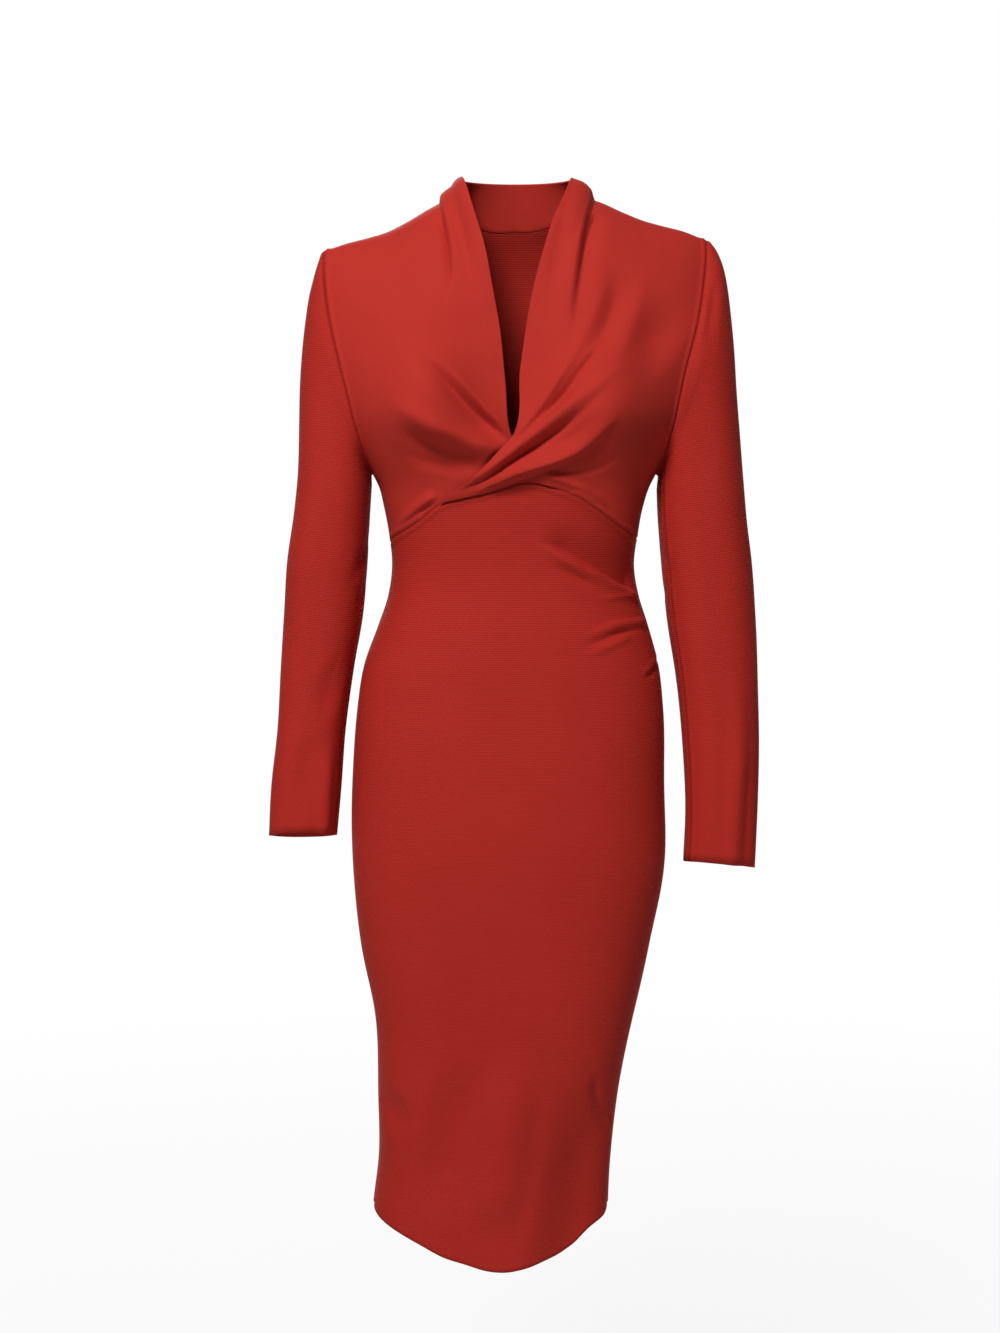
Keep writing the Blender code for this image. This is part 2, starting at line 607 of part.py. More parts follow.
def sleeve(side, armhole):
    """Middle of the wall of a sleeve: rings down the arm, columns round it."""
    rings = []
    sign = 1 if side else -1
    turn = np.linspace(0.0, 2 * math.pi, len(armhole), endpoint=False)
    table = LEFT_SLEEVE if side else RIGHT_SLEEVE
    for at, (out_x, out_z, in_x, in_z, depth, forward) in enumerate(table):
        outer = np.array([sign * out_x, -forward, out_z])
        inner = np.array([sign * in_x, -forward, in_z])
        centre = (outer + inner) / 2
        over, ahead = ring_shares(turn, at)
        ring = (centre + (outer - centre) * over[:, None]
                + np.array([0.0, -depth, 0.0]) * ahead[:, None])
        rings.append(ring)
    rings = np.array(rings)
    own = armhole - rings[0]
    for index in range(CAP_RINGS):
        rings[index] += own * (1 - index / CAP_RINGS) ** 2
    tilt = CUFF_TILT[side] * ease((np.arange(len(rings)) - CAP_RINGS) / (len(rings) - 1 - CAP_RINGS))
    rings[..., 2] += tilt[:, None] * np.sin(turn)[None, :]
    return rings


def armhole_loop(side, front, back_grid):
    """The armhole from the shoulder tip down the front and up the back."""
    down = front[::-1][:ARMHOLE_ROWS + 1, -1]
    edge = back_grid[:ARMHOLE_ROWS + 1, -1 if side else 0]
    return np.concatenate([down, edge[1:-1][::-1]])


# ------------------------------------------------------------------ walls

def halves(points, a, b, c, d):
    """The two triangles of a four-sided face, split along its shorter diagonal."""
    if np.linalg.norm(points[a] - points[c]) < np.linalg.norm(points[b] - points[d]):
        return (a, b, c), (a, c, d)
    return (a, b, d), (b, c, d)


def wall_faces(outer, inner, closed):
    """Triangles of a wall: its two sheets, split alike, and the strips round its edges."""
    rows, columns = outer.shape[:2]
    count = rows * columns
    points = np.concatenate([outer.reshape(-1, 3), inner.reshape(-1, 3)])
    middles = (outer + inner).reshape(-1, 3) / 2
    around = columns if closed else columns - 1
    faces = []
    for i in range(rows - 1):
        for j in range(around):
            k = (j + 1) % columns
            cell = (i * columns + j, i * columns + k, (i + 1) * columns + k, (i + 1) * columns + j)
            for a, b, c in halves(middles, *cell):
                faces.append((a, b, c))
                faces.append((c + count, b + count, a + count))
    low = (rows - 1) * columns
    strips = []
    for j in range(around):
        k = (j + 1) % columns
        strips.append((k, j))
        strips.append((low + j, low + k))
    if not closed:
        for i in range(0, low, columns):
            strips.append((i, i + columns))
            strips.append((i + 2 * columns - 1, i + columns - 1))
    for a, b in strips:
        faces.extend(halves(points, a, b, b + count, a + count))
    return faces


def edge_steps(rows, columns, closed):
    """For each edge vertex (i, j): the neighbours along the edge and inward ones."""
    border = {}
    for j in range(columns):
        for i, inward in ((0, 1), (rows - 1, rows - 2)):
            around = [(i, (j + s) % columns) for s in (-1, 1)] if closed else \
                     [(i, j + s) for s in (-1, 1) if 0 <= j + s < columns]
            border.setdefault((i, j), []).extend((n, (inward, j)) for n in around)
    if not closed:
        for i in range(rows):
            for j, inward in ((0, 1), (columns - 1, columns - 2)):
                around = [(i + s, j) for s in (-1, 1) if 0 <= i + s < rows]
                border.setdefault((i, j), []).extend((n, (i, inward)) for n in around)
    return border


def sewn_normals(pieces):
    """Make the pieces' normals agree at shared points, so that their edges meet flat."""
    tree_points = []
    for name, piece in pieces.items():
        for key in piece["border"]:
            tree_points.append((name, key))
    tree = kdtree.KDTree(len(tree_points))
    for index, (name, key) in enumerate(tree_points):
        tree.insert(pieces[name]["grid"][key], index)
    tree.balance()
    for name, piece in pieces.items():
        for key in piece["border"]:
            found = [tree_points[i] for _, i, _ in tree.find_range(piece["grid"][key], MEETING)]
            owners = {owner: pieces[owner]["normal"][k] for owner, k in found}
            total = sum(owners.values())
            total = total / np.linalg.norm(total)
            lean = min(float(total @ normal) for normal in owners.values())
            piece["shared"][key] = (total, 1 / max(lean, MITRE_LEAST))


def wall(piece):
    """Outer and inner sheets of a piece, drawn back from its edges by half a seam gap."""
    grid = piece["grid"].copy()
    normal = piece["normal"].copy()
    stretch = np.ones(grid.shape[:2])
    shift = np.zeros_like(grid)
    for key, steps in piece["border"].items():
        out, scale = piece["shared"][key]
        normal[key] = out
        stretch[key] = scale
        pulls = []
        for neighbour, inward in steps:
            along = piece["grid"][neighbour] - piece["grid"][key]
            pull = np.cross(along, out)
            pull /= np.linalg.norm(pull)
            pull *= np.sign(pull @ (piece["grid"][inward] - piece["grid"][key]))
            pulls.append(pull)
        first, last = pulls[0], pulls[-1]
        for pull in pulls:
            if pull @ first < last @ first:
                last = pull
        shift[key] = SEAM_GAP / 2 * (first + last) / (1 + first @ last)
    grid += shift
    half = normal * (WALL / 2 * stretch)[..., None]
    return grid + half, grid - half


def make_object(name, piece, material):
    outer, inner = wall(piece)
    vertices = np.concatenate([outer.reshape(-1, 3), inner.reshape(-1, 3)])
    mesh = bpy.data.meshes.new(name)
    mesh.from_pydata(vertices.tolist(), [], wall_faces(outer, inner, piece["closed"]))
    shape = bmesh.new()
    shape.from_mesh(mesh)
    bmesh.ops.recalc_face_normals(shape, faces=shape.faces)
    shape.to_mesh(mesh)
    shape.free()
    mesh.shade_smooth()
    mesh.set_sharp_from_angle(angle=SHARP_ANGLE)
    mesh.materials.append(material)
    made = bpy.data.objects.new(name, mesh)
    bpy.context.collection.objects.link(made)
    return made


def knit(name, colour):
    material = bpy.data.materials.new(name)
    material.use_nodes = True
    shader = material.node_tree.nodes["Principled BSDF"]
    shader.inputs["Base Color"].default_value = colour
    shader.inputs["Roughness"].default_value = KNIT_ROUGHNESS
    shader.inputs["Metallic"].default_value = 0.0
    return material


def make_piece(grid, flip=False, closed=False):
    normal = grid_normals(grid, closed)
    return {
        "grid": grid,
        "normal": -normal if flip else normal,
        "closed": closed,
        "border": edge_steps(*grid.shape[:2], closed),
        "shared": {},
    }


def main():
    for old in list(bpy.data.objects):
        bpy.data.objects.remove(old)
    right = bodice_front(0)
    left = bodice_front(1)
    back_grid = back()
    pieces = {
        "bodice_right": make_piece(right, flip=True),
        "bodice_left": make_piece(left),
        "front_skirt": make_piece(front_skirt(), flip=True),
        "back": make_piece(back_grid),
        "neck_band": make_piece(neck_band(right, left)),
        "sleeve_right": make_piece(sleeve(0, armhole_loop(0, right, back_grid)), True, True),
        "sleeve_left": make_piece(sleeve(1, armhole_loop(1, left, back_grid)), False, True),
    }
    sewn_normals(pieces)
    smooth_pieces = ("bodice_right", "bodice_left", "neck_band")
    for name, piece in pieces.items():
        colour = SMOOTH_RED if name in smooth_pieces else RIBBED_RED
        make_object(name, piece, knit(name + "_knit", colour))


main()
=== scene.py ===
"""Long-sleeved bandage dress, finished in cloth.

Metres, +Z up, the front facing -Y and the wearer's left at +X. Every piece of
cloth follows one body surface, given by the sections in BODY and addressed by
(across, z): across is -1 at the wearer's right side seam or armhole, 0 at the
centre and +1 at the left. The pieces are laid out as grids on that surface,
folds are raised on them, and each grid gets its thickness, its edges and a
cloth pattern in real sizes. A side is 0 for the wearer's right and 1 for the
left, and pairs of values are given in that order.
"""
import math

import bpy
import numpy as np
from bpy.props import FloatProperty, FloatVectorProperty, PointerProperty
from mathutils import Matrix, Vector, kdtree


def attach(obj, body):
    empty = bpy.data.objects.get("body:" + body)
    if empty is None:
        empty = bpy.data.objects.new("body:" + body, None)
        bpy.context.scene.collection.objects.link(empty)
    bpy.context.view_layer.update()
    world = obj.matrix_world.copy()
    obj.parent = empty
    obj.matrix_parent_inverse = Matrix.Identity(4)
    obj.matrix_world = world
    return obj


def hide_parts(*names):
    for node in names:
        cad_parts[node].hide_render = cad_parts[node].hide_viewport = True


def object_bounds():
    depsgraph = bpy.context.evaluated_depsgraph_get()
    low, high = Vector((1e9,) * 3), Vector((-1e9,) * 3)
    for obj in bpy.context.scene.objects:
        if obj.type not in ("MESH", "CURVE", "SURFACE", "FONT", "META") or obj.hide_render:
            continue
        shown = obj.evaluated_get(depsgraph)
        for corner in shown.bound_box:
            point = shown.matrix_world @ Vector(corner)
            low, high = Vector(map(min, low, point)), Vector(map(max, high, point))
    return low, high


bl_info = {
    "name": "Bandage Dress",
    "version": (1, 0, 0),
    "blender": (4, 5, 0),
    "location": "View3D > Sidebar > Dress",
    "description": "Builds the cloth, materials and stage of a bandage dress",
    "category": "Object",
}

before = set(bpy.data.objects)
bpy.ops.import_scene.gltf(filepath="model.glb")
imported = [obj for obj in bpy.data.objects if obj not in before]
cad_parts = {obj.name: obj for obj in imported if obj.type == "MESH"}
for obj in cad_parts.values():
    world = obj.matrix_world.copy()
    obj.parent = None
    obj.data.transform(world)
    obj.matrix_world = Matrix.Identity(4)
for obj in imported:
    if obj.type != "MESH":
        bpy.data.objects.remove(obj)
CAD_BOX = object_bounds()


def table(names, *rows):
    """Columns by name. Those before the bar are written in millimetres and kept in metres."""
    lengths, _, others = names.partition("|")
    scale = [1000.0] * len(lengths.split()) + [1.0] * len(others.split())
    return dict(zip((lengths + others).split(), (np.array(rows) / scale).T))


def rows_of(columns):
    """The rows of a table, each by the names of its columns."""
    return [dict(zip(columns, row)) for row in zip(*columns.values())]


SIDES = ("right", "left")
SIGNS = (-1, 1)
TINY = 1e-12                # the least length that is divided by

# Body sections: height, right and left half-width, front and back depth, and the
# degrees round the section at which the armhole seam lies (90 at the side seam)
SIDE_SEAM = 90.0
BODY = table(
    "z right left front back | seam",
    (80, 196.5, 196.5, 76, 78, 73),
    (0, 196.5, 196.5, 76, 78, 73),
    (-45, 196.5, 196.5, 78, 82, 73),
    (-80, 201, 199, 80, 87, 68),
    (-130, 202, 199, 85, 94, 62),
    (-170, 192.5, 188.5, 91, 98, 61),
    (-210, 174.5, 172, 97, 99, 65),
    (-240, 156, 154, 99, 97, 74),
    (-256, 147, 145, 99, 95, 82),
    (-268, 140.3, 138.5, 98, 93, 90),
    (-282, 133.5, 131.5, 96, 90, 90),
    (-300, 129, 126, 94, 87, 90),
    (-330, 123.5, 120.5, 90, 82, 90),
    (-360, 121, 117, 87, 80, 90),
    (-390, 125, 121.5, 87, 83, 90),
    (-420, 135, 131, 90, 91, 90),
    (-460, 149, 142, 94, 102, 90),
    (-500, 156, 147, 97, 110, 90),
    (-580, 162, 149, 100, 116, 90),
    (-660, 162, 149, 99, 110, 90),
    (-740, 154, 135, 95, 98, 90),
    (-820, 139.5, 117.2, 90, 88, 90),
    (-900, 136.8, 102, 86, 83, 90),
    (-960, 136.6, 96, 84, 82, 90),
    (-1010, 142.4, 93.8, 84, 83, 90),
    (-1080, 147, 94, 84, 83, 90),
)
TORSO_ROUND = 2.3           # exponent of a section: 2 is an ellipse, more is boxier
SKIRT_ROUND = 2.8
WAIST_TOP = -0.3450         # the sections turn from one to the other from here
HIPS = -0.4600              # down to here

# Shoulder ridge: its height on each side at a distance from the centre
RIDGE = table(
    "x right left",
    (0, 19, 19),
    (50, 6.2, 8.8),
    (70, -2, 1),
    (85, -10, -4),
    (105, -22, -13),
    (125, -32, -21),
    (145, -38, -26.5),
    (165, -43, -31.5),
    (187.5, -50, -40),
)
HIGH = 0.0                  # a height above the shoulders, for their sections
ROLL = 0.120                # height over which the shoulder rounds to full depth
ROLL_LENGTH = 0.160         # the same, measured over the surface

ARMPIT = -0.2680
SIDE_END = (-0.3390, -0.3340)    # ends of the seam under the bust at the side seams
HEM_SIDE = -1.0090

# Front hem: height at a share of the half-width from the middle
FRONT_HEM = table(
    "z | share",
    (-1009, -1),
    (-1016.5, -0.84),
    (-1028.4, -0.6),
    (-1041, -0.37),
    (-1046.5, -0.21),
    (-1053.8, 0),
    (-1054.8, 0.15),
    (-1052, 0.28),
    (-1047.8, 0.42),
    (-1039.4, 0.66),
    (-1033, 0.76),
    (-1019, 0.885),
    (-1009, 1),
)

# Soft fullness over each bust cup
CUP_X = 0.090
CUP_Z = -0.206
CUP_RISE = 0.033
CUP_WIDE = 0.047
CUP_ABOVE = 0.070
CUP_BELOW = 0.043
CUP_SIDE = 2.5              # how quickly it fades towards the side of the body

# Seam under the bust, from right to left between the side seams
UNDERBUST = table(
    "x z",
    (-92, -314),
    (-71, -298),
    (-50, -292.5),
    (-21, -286),
    (12, -277),
    (34, -282),
    (62, -293),
    (80, -305),
    (100, -320),
)
TAIL = (-0.071, -0.2980)      # (x, z) where the left front's gathered end is caught in the seam
TUCKED = (0.014, -0.2770)     # where the right front's hidden end is caught in it
LAP_TIP = (-0.004, -0.2350)   # where the two necklines cross

# Neckline edges, from the caught end up to the shoulder ridge
RIGHT_NECKLINE = table(
    "x z",
    (4, -252),
    (-6, -228),
    (-10, -181),
    (-15, -131),
    (-21, -97),
    (-28, -58),
    (-38, -23),
)
LEFT_NECKLINE = table(
    "x z",
    (-66, -291),
    (-44, -275.5),
    (-17, -249),
    (-4, -235),
    (4, -172),
    (14, -106),
    (23, -68),
    (33, -35),
    (44, -10),
)
NECKLINES = (RIGHT_NECKLINE, LEFT_NECKLINE)
NECK_TOP_X = (0.049, 0.052)
BAND_FOOT_X = 0.080         # half the width of the band's foot at the shoulders
NECK_BACK = 0.060           # depth of the back neck seam behind the shoulder ridge
BAND_TOP = (0.050, 0.022)   # depth and height of the band's upper edge at the centre back

LAP_LIFT = 0.0032           # how far the left front lies above the right one
LAP_FULL = 0.016            # distance from the lap within which it is lifted fully
LAP_NONE = 0.036            # and beyond which it is not lifted
LAP_HIDE = 0.006            # the right front's folds end this far each side of the lap's edge
FOLD_CALM = 0.012           # folds die away within this distance of a sewn edge
SKIRT_CALM = 0.006          # on the skirt, within this one
FOLD_TURN = 0.003           # a fold's reach changes from below to above over this distance

# Folds: four points that each one runs through, as (x, z), its height (below
# nothing for a trough), its reach above and below its line, how round its crest
# is (1 a crease, 2 round), and the share of its length over which it rises at
# its start and sinks at its end
FOLD = "x0 z0 x1 z1 x2 z2 x3 z3 height above below | round rise sink"
RIGHT_FOLDS = table(
    FOLD,
    (-100, -144, -70, -169, -40, -200, 4, -243, 7.2, 34, 9, 1, 0.5, 0.3),
    (-95, -155, -68, -177, -42, -205, -4, -241, -8, 7, 21, 1.3, 0.4, 0.3),
    (-124, -203, -86, -217, -54, -232, -4, -255, 12.2, 14, 26, 1.45, 0.45, 0.28),
    (-112, -230, -82, -242, -54, -252, -28, -260, -4, 12, 24, 1.8, 0.4, 0.2),
    (-112, -246, -86, -258, -62, -264, -46, -268, -2.2, 10, 12, 1.6, 0.4, 0.4),
    (-72, -288, -86, -296, -102, -309.5, -118, -325, 3.6, 10, 6, 1.5, 0.2, 0.45),
    (-76, -297.5, -83, -301, -90, -305, -98, -311, -2.6, 5, 4, 1.2, 0.3, 0.5),
)
LEFT_FOLDS = table(
    FOLD,
    (110, -160, 40, -216, -3, -247.5, -68, -296.5, 9.2, 14, 10, 1.6, 0.45, 0.28),
    (102, -208, 54, -248, -2, -269, -60, -292.5, 12, 15, 9, 1.6, 0.4, 0.42),
    (82, -196, 40, -229, -12, -262.5, -58, -289, -5.5, 7, 9, 1.4, 0.45, 0.2),
    (74, -126, 52, -166, 26, -205, -2, -238, 6, 32, 8, 1.05, 0.5, 0.12),
    (84, -142, 64, -166, 44, -194, 20, -224, -5.2, 5, 14, 1.2, 0.3, 0.4),
    (102, -62, 97, -100, 85, -132, 62, -162, -7.8, 18, 26, 1.8, 0.55, 0.35),
    (154, -88, 144, -120, 126, -150, 100, -182, -7, 34, 32, 2, 0.5, 0.5),
    (20, -269, 38, -273, 58, -282, 80, -297, 2.6, 8, 6, 1.6, 0.25, 0.35),
    (104, -250, 74, -266, 48, -269, 22, -272, -2, 12, 6, 1.5, 0.4, 0.25),
    (70, -294, 79, -299, 88, -304, 98, -311, -3, 7, 4, 1.2, 0.35, 0.4),
)
FRONT_FOLDS = (RIGHT_FOLDS, LEFT_FOLDS)
# The fronts' rolls beside the neck: the neckline's own, a second fold outside it,
# and the hollow between them and the shoulder
RIGHT_ROLLS = table(
    FOLD,
    (-49, 6, -38, -23, -28, -58, -15, -131, 15.5, 40, 24, 2, 0, 1),
    (-69, -3, -62, -35, -58, -57, -54, -104, 7.2, 14, 6.4, 1.9, 0, 0.9),
    (-73, -18, -69, -36, -65, -60, -63, -106, -4.4, 4, 8, 1.2, 0.15, 0.6),
)
LEFT_ROLLS = table(
    FOLD,
    (52, 10, 44, -10, 33, -35, 14, -106, 13, 40, 26, 2, 0, 1),
    (71.2, 1, 61, -34, 54.5, -74, 45, -156, 8, 21, 8, 1.9, 0, 0.8),
    (80, -14, 70, -42, 63, -78, 54, -150, -3.2, 6, 18, 1.6, 0.1, 0.7),
)
NECK_ROLLS = (RIGHT_ROLLS, LEFT_ROLLS)
# The tuck's drag lines at the left of the waist, then the troughs above the hem
SKIRT_FOLDS = table(
    FOLD,
    (16, -333, 50, -352.5, 84, -370.5, 119.5, -391, 4.4, 4.5, 14, 1.05, 0.35, 0.04),
    (22, -329, 54, -347, 88, -365, 120, -383, -6.4, 32, 7, 1.5, 0.3, 0.1),
    (34, -352, 52, -364, 68, -373, 86, -381, -2.8, 6, 12, 1.5, 0.4, 0.5),
    (72, -390.5, 86, -389.5, 100, -388.5, 118, -388, 2.2, 3, 6, 1.05, 0.4, 0.2),
    (64, -428, 82, -420.5, 100, -415, 128, -414.5, 4.2, 5.5, 8, 1, 0.5, 0.1),
    (60, -437, 80, -430, 100, -423, 126, -421, -2.8, 4, 7, 1.4, 0.4, 0.3),
    (64, -445, 80, -440, 96, -433, 118, -424, 2.6, 4, 6, 1.05, 0.4, 0.3),
    (119, -466, 127, -461, 134, -455.5, 140.5, -446.5, 1.5, 6, 4, 1.1, 0.4, 0.3),
    (123, -469, 131, -464, 137, -458, 143, -448, -2.2, 3, 8, 1.3, 0.4, 0.2),
    (-40, -825, -56, -880, -68, -940, -76, -1015, -7.6, 36, 34, 2, 0.45, 0.35),
    (74, -850, 70, -920, 62, -985, 52, -1070, -12, 50, 48, 2, 0.5, 0.04),
    (-4, -820, -6, -890, -14, -957, -26, -1020, 7.6, 34, 34, 2, 0.4, 0.25),
    (-136, -885, -125, -895, -112, -907, -96, -919, -4.8, 26, 30, 1.9, 0.35, 0.5),
    (76, -858, 82, -880, 89, -900, 100, -918, -3.8, 8, 12, 1.6, 0.35, 0.2),
)
# On the back, seen from the front: drag lines at the waist, a soft hollow by each
# armhole, and two below the hips
BACK_FOLDS = table(
    FOLD,
    (-110, -356, -82, -366, -50, -374, -14, -376, -6, 12, 14, 1.6, 0.3, 0.55),
    (106, -364, 80, -374, 52, -380, 16, -379, -5.4, 12, 12, 1.6, 0.25, 0.55),
    (-112, -388, -90, -392, -62, -397, -36, -404, -4.2, 8, 12, 1.4, 0.3, 0.6),
    (114, -404, 94, -406, 70, -412, 44, -421, -4.5, 9, 12, 1.4, 0.25, 0.6),
    (-148, -200, -132, -168, -118, -140, -110, -106, -6, 16, 20, 1.8, 0.35, 0.55),
    (146, -206, 134, -174, 124, -146, 118, -118, -5.4, 14, 20, 1.8, 0.35, 0.55),
    (-60, -740, -40, -780, -28, -830, -24, -900, -4.5, 24, 28, 2, 0.45, 0.45),
    (52, -770, 40, -820, 34, -870, 36, -930, -5.1, 26, 22, 2, 0.4, 0.5),
)

# Slow waves of the cloth: how fast each one turns along x, y and z, and where it starts
WAVES = table(
    "| x y z start",
    (41, 0, 13, 1.3),
    (23, 17, -29, 4.1),
    (11, 0, 47, 0.6),
    (67, -31, 37, 2.2),
)
# Their height on the fronts, on the skirt and back, and on the sleeves
FRONT_WAVE = 0.0006
BODY_WAVE = 0.0009
SLEEVE_WAVE = 0.0007

# Sleeve rings, from the armhole to the cuff: outer edge, inner edge, half depth,
# and how far the middle lies forward
SLEEVE = "out_x out_z in_x in_z depth forward"
RIGHT_SLEEVE = table(
    SLEEVE,
    (187, -50, 140.5, -266, 53, -2),
    (192.5, -60, 143, -266.5, 55, -1),
    (198.5, -79, 144.5, -269, 55, 0),
    (204, -102, 144.8, -271.5, 54, 0),
    (209, -140, 144.6, -274, 53, 0),
    (212, -180, 144.5, -277, 52, 0),
    (213.5, -225, 144.5, -280.5, 51, 0),
    (215, -270, 144.8, -285, 51, 0),
    (219, -312, 146.5, -313, 50, 1),
    (226.5, -360, 149.2, -360, 48, 3),
    (230, -410, 154, -410, 45, 5),
    (232.5, -460, 163, -460, 42, 9),
    (236, -520, 171, -520, 38, 14),
    (241.5, -575, 175, -575, 34, 19),
    (244.2, -629, 179.2, -628, 29, 25),
)
LEFT_SLEEVE = table(
    SLEEVE,
    (188, -40, 138.5, -268, 53, -2),
    (196.5, -48, 141.5, -268, 55, -1),
    (204.5, -66, 143.2, -269.8, 55, 0),
    (210, -93, 143.6, -272.2, 54, 0),
    (215, -140, 143.4, -275, 53, 0),
    (218, -185, 143, -278.5, 52, 0),
    (222, -230, 142.8, -282.5, 51, 0),
    (225.5, -272, 142.6, -287.5, 51, 0),
    (229.5, -315, 143.5, -317, 50, 1),
    (235.5, -362, 147, -362, 48, 3),
    (239, -415, 153.5, -415, 45, 5),
    (241.2, -470, 162, -470, 42, 9),
    (243, -530, 168, -530, 38, 13),
    (241.5, -595, 171.3, -595, 34, 17),
    (238.8, -661.5, 169.6, -655, 30, 21),
)
SLEEVES = (RIGHT_SLEEVE, LEFT_SLEEVE)
CAP_RINGS = 7               # rings over which a sleeve leaves the armhole's shape
CAP_CALM = 1.5              # rings from the armhole over which the folds rise
ARM_ROUND = 2.5             # exponent of a sleeve's section below them
CUFF_TILT = (0.0065, 0.0050)    # how far each cuff's front is raised and its back lowered
UNDERARM_TURN = (192.0, 149.0)      # degrees round each sleeve at which its long seam runs
COURSE_SLOPE = 0.12         # how far the sleeves' courses fall towards the armhole

# Folds of the sleeves: as the others, but with two ends, each as a ring of the
# table and the degrees round it from the outer edge towards the front
SLEEVE_FOLD = "height above below | ring0 turn0 ring1 turn1 round rise sink"
RIGHT_SLEEVE_FOLDS = table(
    SLEEVE_FOLD,
    (-2.6, 10, 12, 8.3, 195, 9.4, 120, 1.5, 0.3, 0.5),
    (-2, 8, 10, 9.2, 190, 10, 138, 1.5, 0.3, 0.55),
    (-3, 10, 12, 7.6, 205, 8.6, 262, 1.5, 0.3, 0.5),
    (2.4, 14, 10, 9, 330, 8.5, 278, 1.8, 0.4, 0.4),
    (-3.2, 16, 18, 10.8, 134, 12, 97, 1.9, 0.4, 0.4),
    (-3, 18, 20, 11.8, 100, 13.7, 90, 2, 0.4, 0.45),
    (2.8, 12, 11, 12.2, 126, 14, 130, 1.6, 0.45, 0.02),
)
LEFT_SLEEVE_FOLDS = table(
    SLEEVE_FOLD,
    (-2.4, 10, 12, 8.4, 190, 9.3, 130, 1.5, 0.3, 0.5),
    (-2, 8, 10, 9.3, 196, 10.2, 150, 1.5, 0.3, 0.55),
    (-3, 10, 12, 7.8, 208, 8.9, 268, 1.5, 0.3, 0.5),
    (2.4, 14, 10, 9.3, 325, 8.7, 276, 1.8, 0.4, 0.4),
    (-2, 14, 17, 12, 46, 14, 62, 1.8, 0.55, 0.02),
    (3.6, 16, 14, 10.6, 70, 14, 76, 1.8, 0.5, 0.02),
    (-2.6, 9, 12, 0.9, 40, 2.3, 84, 1.8, 0.4, 0.5),
    (1.2, 7, 8, 0.5, 46, 1.3, 88, 1.8, 0.4, 0.5),
)
SLEEVE_FOLDS = (RIGHT_SLEEVE_FOLDS, LEFT_SLEEVE_FOLDS)

# Coarse spans of each edge, the same for the two pieces that share it
NECK_SPANS = 4
SHOULDER_SPANS = 9
ARMHOLE_SPANS = 12
SIDE_SPANS = 5
SKIRT_SPANS = 14
RIGHT_SEAM_SPANS = 8
LAP_SEAM_SPANS = 5
LEFT_SEAM_SPANS = 8
BAND_SPANS = 8
SLEEVE_SPANS = 14
FREE_SEAM_SPANS = 7         # of a front's seam under the bust, those that don't calm its folds
SKIRT_CROWD = 1.4           # exponent that crowds rows towards the top of the skirt
NECKLINE_CROWD = 1.4        # and points of a neckline towards its caught end
SKIRT_EVEN = 2.0            # the skirt's columns are evenly spaced once 1 / this of the way down
# Divisions of each span in a piece's grid
FRONT_FINE = 11
SKIRT_FINE = 7
SKIRT_ROWS_FINE = 18
BACK_FINE = 6
SLEEVE_FINE = 6
BAND_FINE = 8
FOLD_SAMPLES = 140          # points taken along a fold's line

SEAM_GAP = 0.00006          # between two pieces that are sewn
SEAM_MEET = 0.0016          # edge points this close to each other are sewn together
MITRE_LEAST = 0.75          # pieces that meet at an angle are at most 1 / this times as thick there
SEAM_RISE = 0.0011          # how far the cloth stands proud beside a seam
SEAM_RISE_FROM = 0.0034     # at this distance from it
SEAM_RISE_WIDE = 0.0024     # and over this width


# ---------------- curves

def shares(count):
    """Even shares from 0 to 1."""
    return np.linspace(0.0, 1.0, count)


def smooth(knots, values, at):
    """Cubic through the knots, its slope at each the mean of the chords beside it."""
    order = np.argsort(knots)
    knots = np.asarray(knots, float)[order]
    values = np.asarray(values, float)[order]
    at = np.clip(np.asarray(at, float), knots[0], knots[-1])
    step = np.diff(knots)
    chord = np.diff(values) / step
    slope = np.empty_like(values)
    slope[[0, -1]] = chord[[0, -1]]
    slope[1:-1] = (chord[:-1] * step[1:] + chord[1:] * step[:-1]) / (step[1:] + step[:-1])
    cell = np.clip(np.searchsorted(knots, at) - 1, 0, len(step) - 1)
    u = (at - knots[cell]) / step[cell]
    return ((1 + 2 * u) * (1 - u) ** 2 * values[cell]
            + u * (1 - u) ** 2 * step[cell] * slope[cell]
            + u * u * (3 - 2 * u) * values[cell + 1]
            + u * u * (u - 1) * step[cell] * slope[cell + 1])


def ease(value):
    """Rise smoothly from 0 at 0 to 1 at 1."""
    value = np.clip(value, 0.0, 1.0)
    return value * value * (3 - 2 * value)


def spaced(points, places):
    """Points at the given shares of the length of a smooth curve through points."""
    points = np.asarray(points, float)
    steps = np.linalg.norm(np.diff(points, axis=0), axis=1)
    reach = np.concatenate([[0.0], np.cumsum(steps)])
    return np.stack([smooth(reach, line, places * reach[-1]) for line in points.T], axis=-1)


def resampled(edge, count):
    """The points of an edge, evenly taken again by their number along it."""
    return np.stack([np.interp(shares(count), shares(len(edge)), line) for line in edge.T], axis=-1)


def tree_of(points):
    """The points in a tree, for finding the nearest ones."""
    tree = kdtree.KDTree(len(points))
    for index, point in enumerate(points):
        tree.insert(point, index)
    tree.balance()
    return tree


# ---------------- body surface

def section(name, z):
    """A value of the body sections at height z."""
    return smooth(BODY["z"], BODY[name], z)


def middle(z):
    return (section("left", z) - section("right", z)) / 2


def half_width(z):
    return (section("left", z) + section("right", z)) / 2


def seam_angle(z):
    return np.radians(np.minimum(section("seam", z), SIDE_SEAM))


def ridge_height(across):
    """Height of the shoulder ridge above a place across the body."""
    x = half_width(HIGH) * np.sin(np.abs(across) * seam_angle(HIGH))
    right, left = (smooth(RIDGE["x"], RIDGE[side], x) for side in SIDES)
    return np.where(np.asarray(across) < 0, right, left)


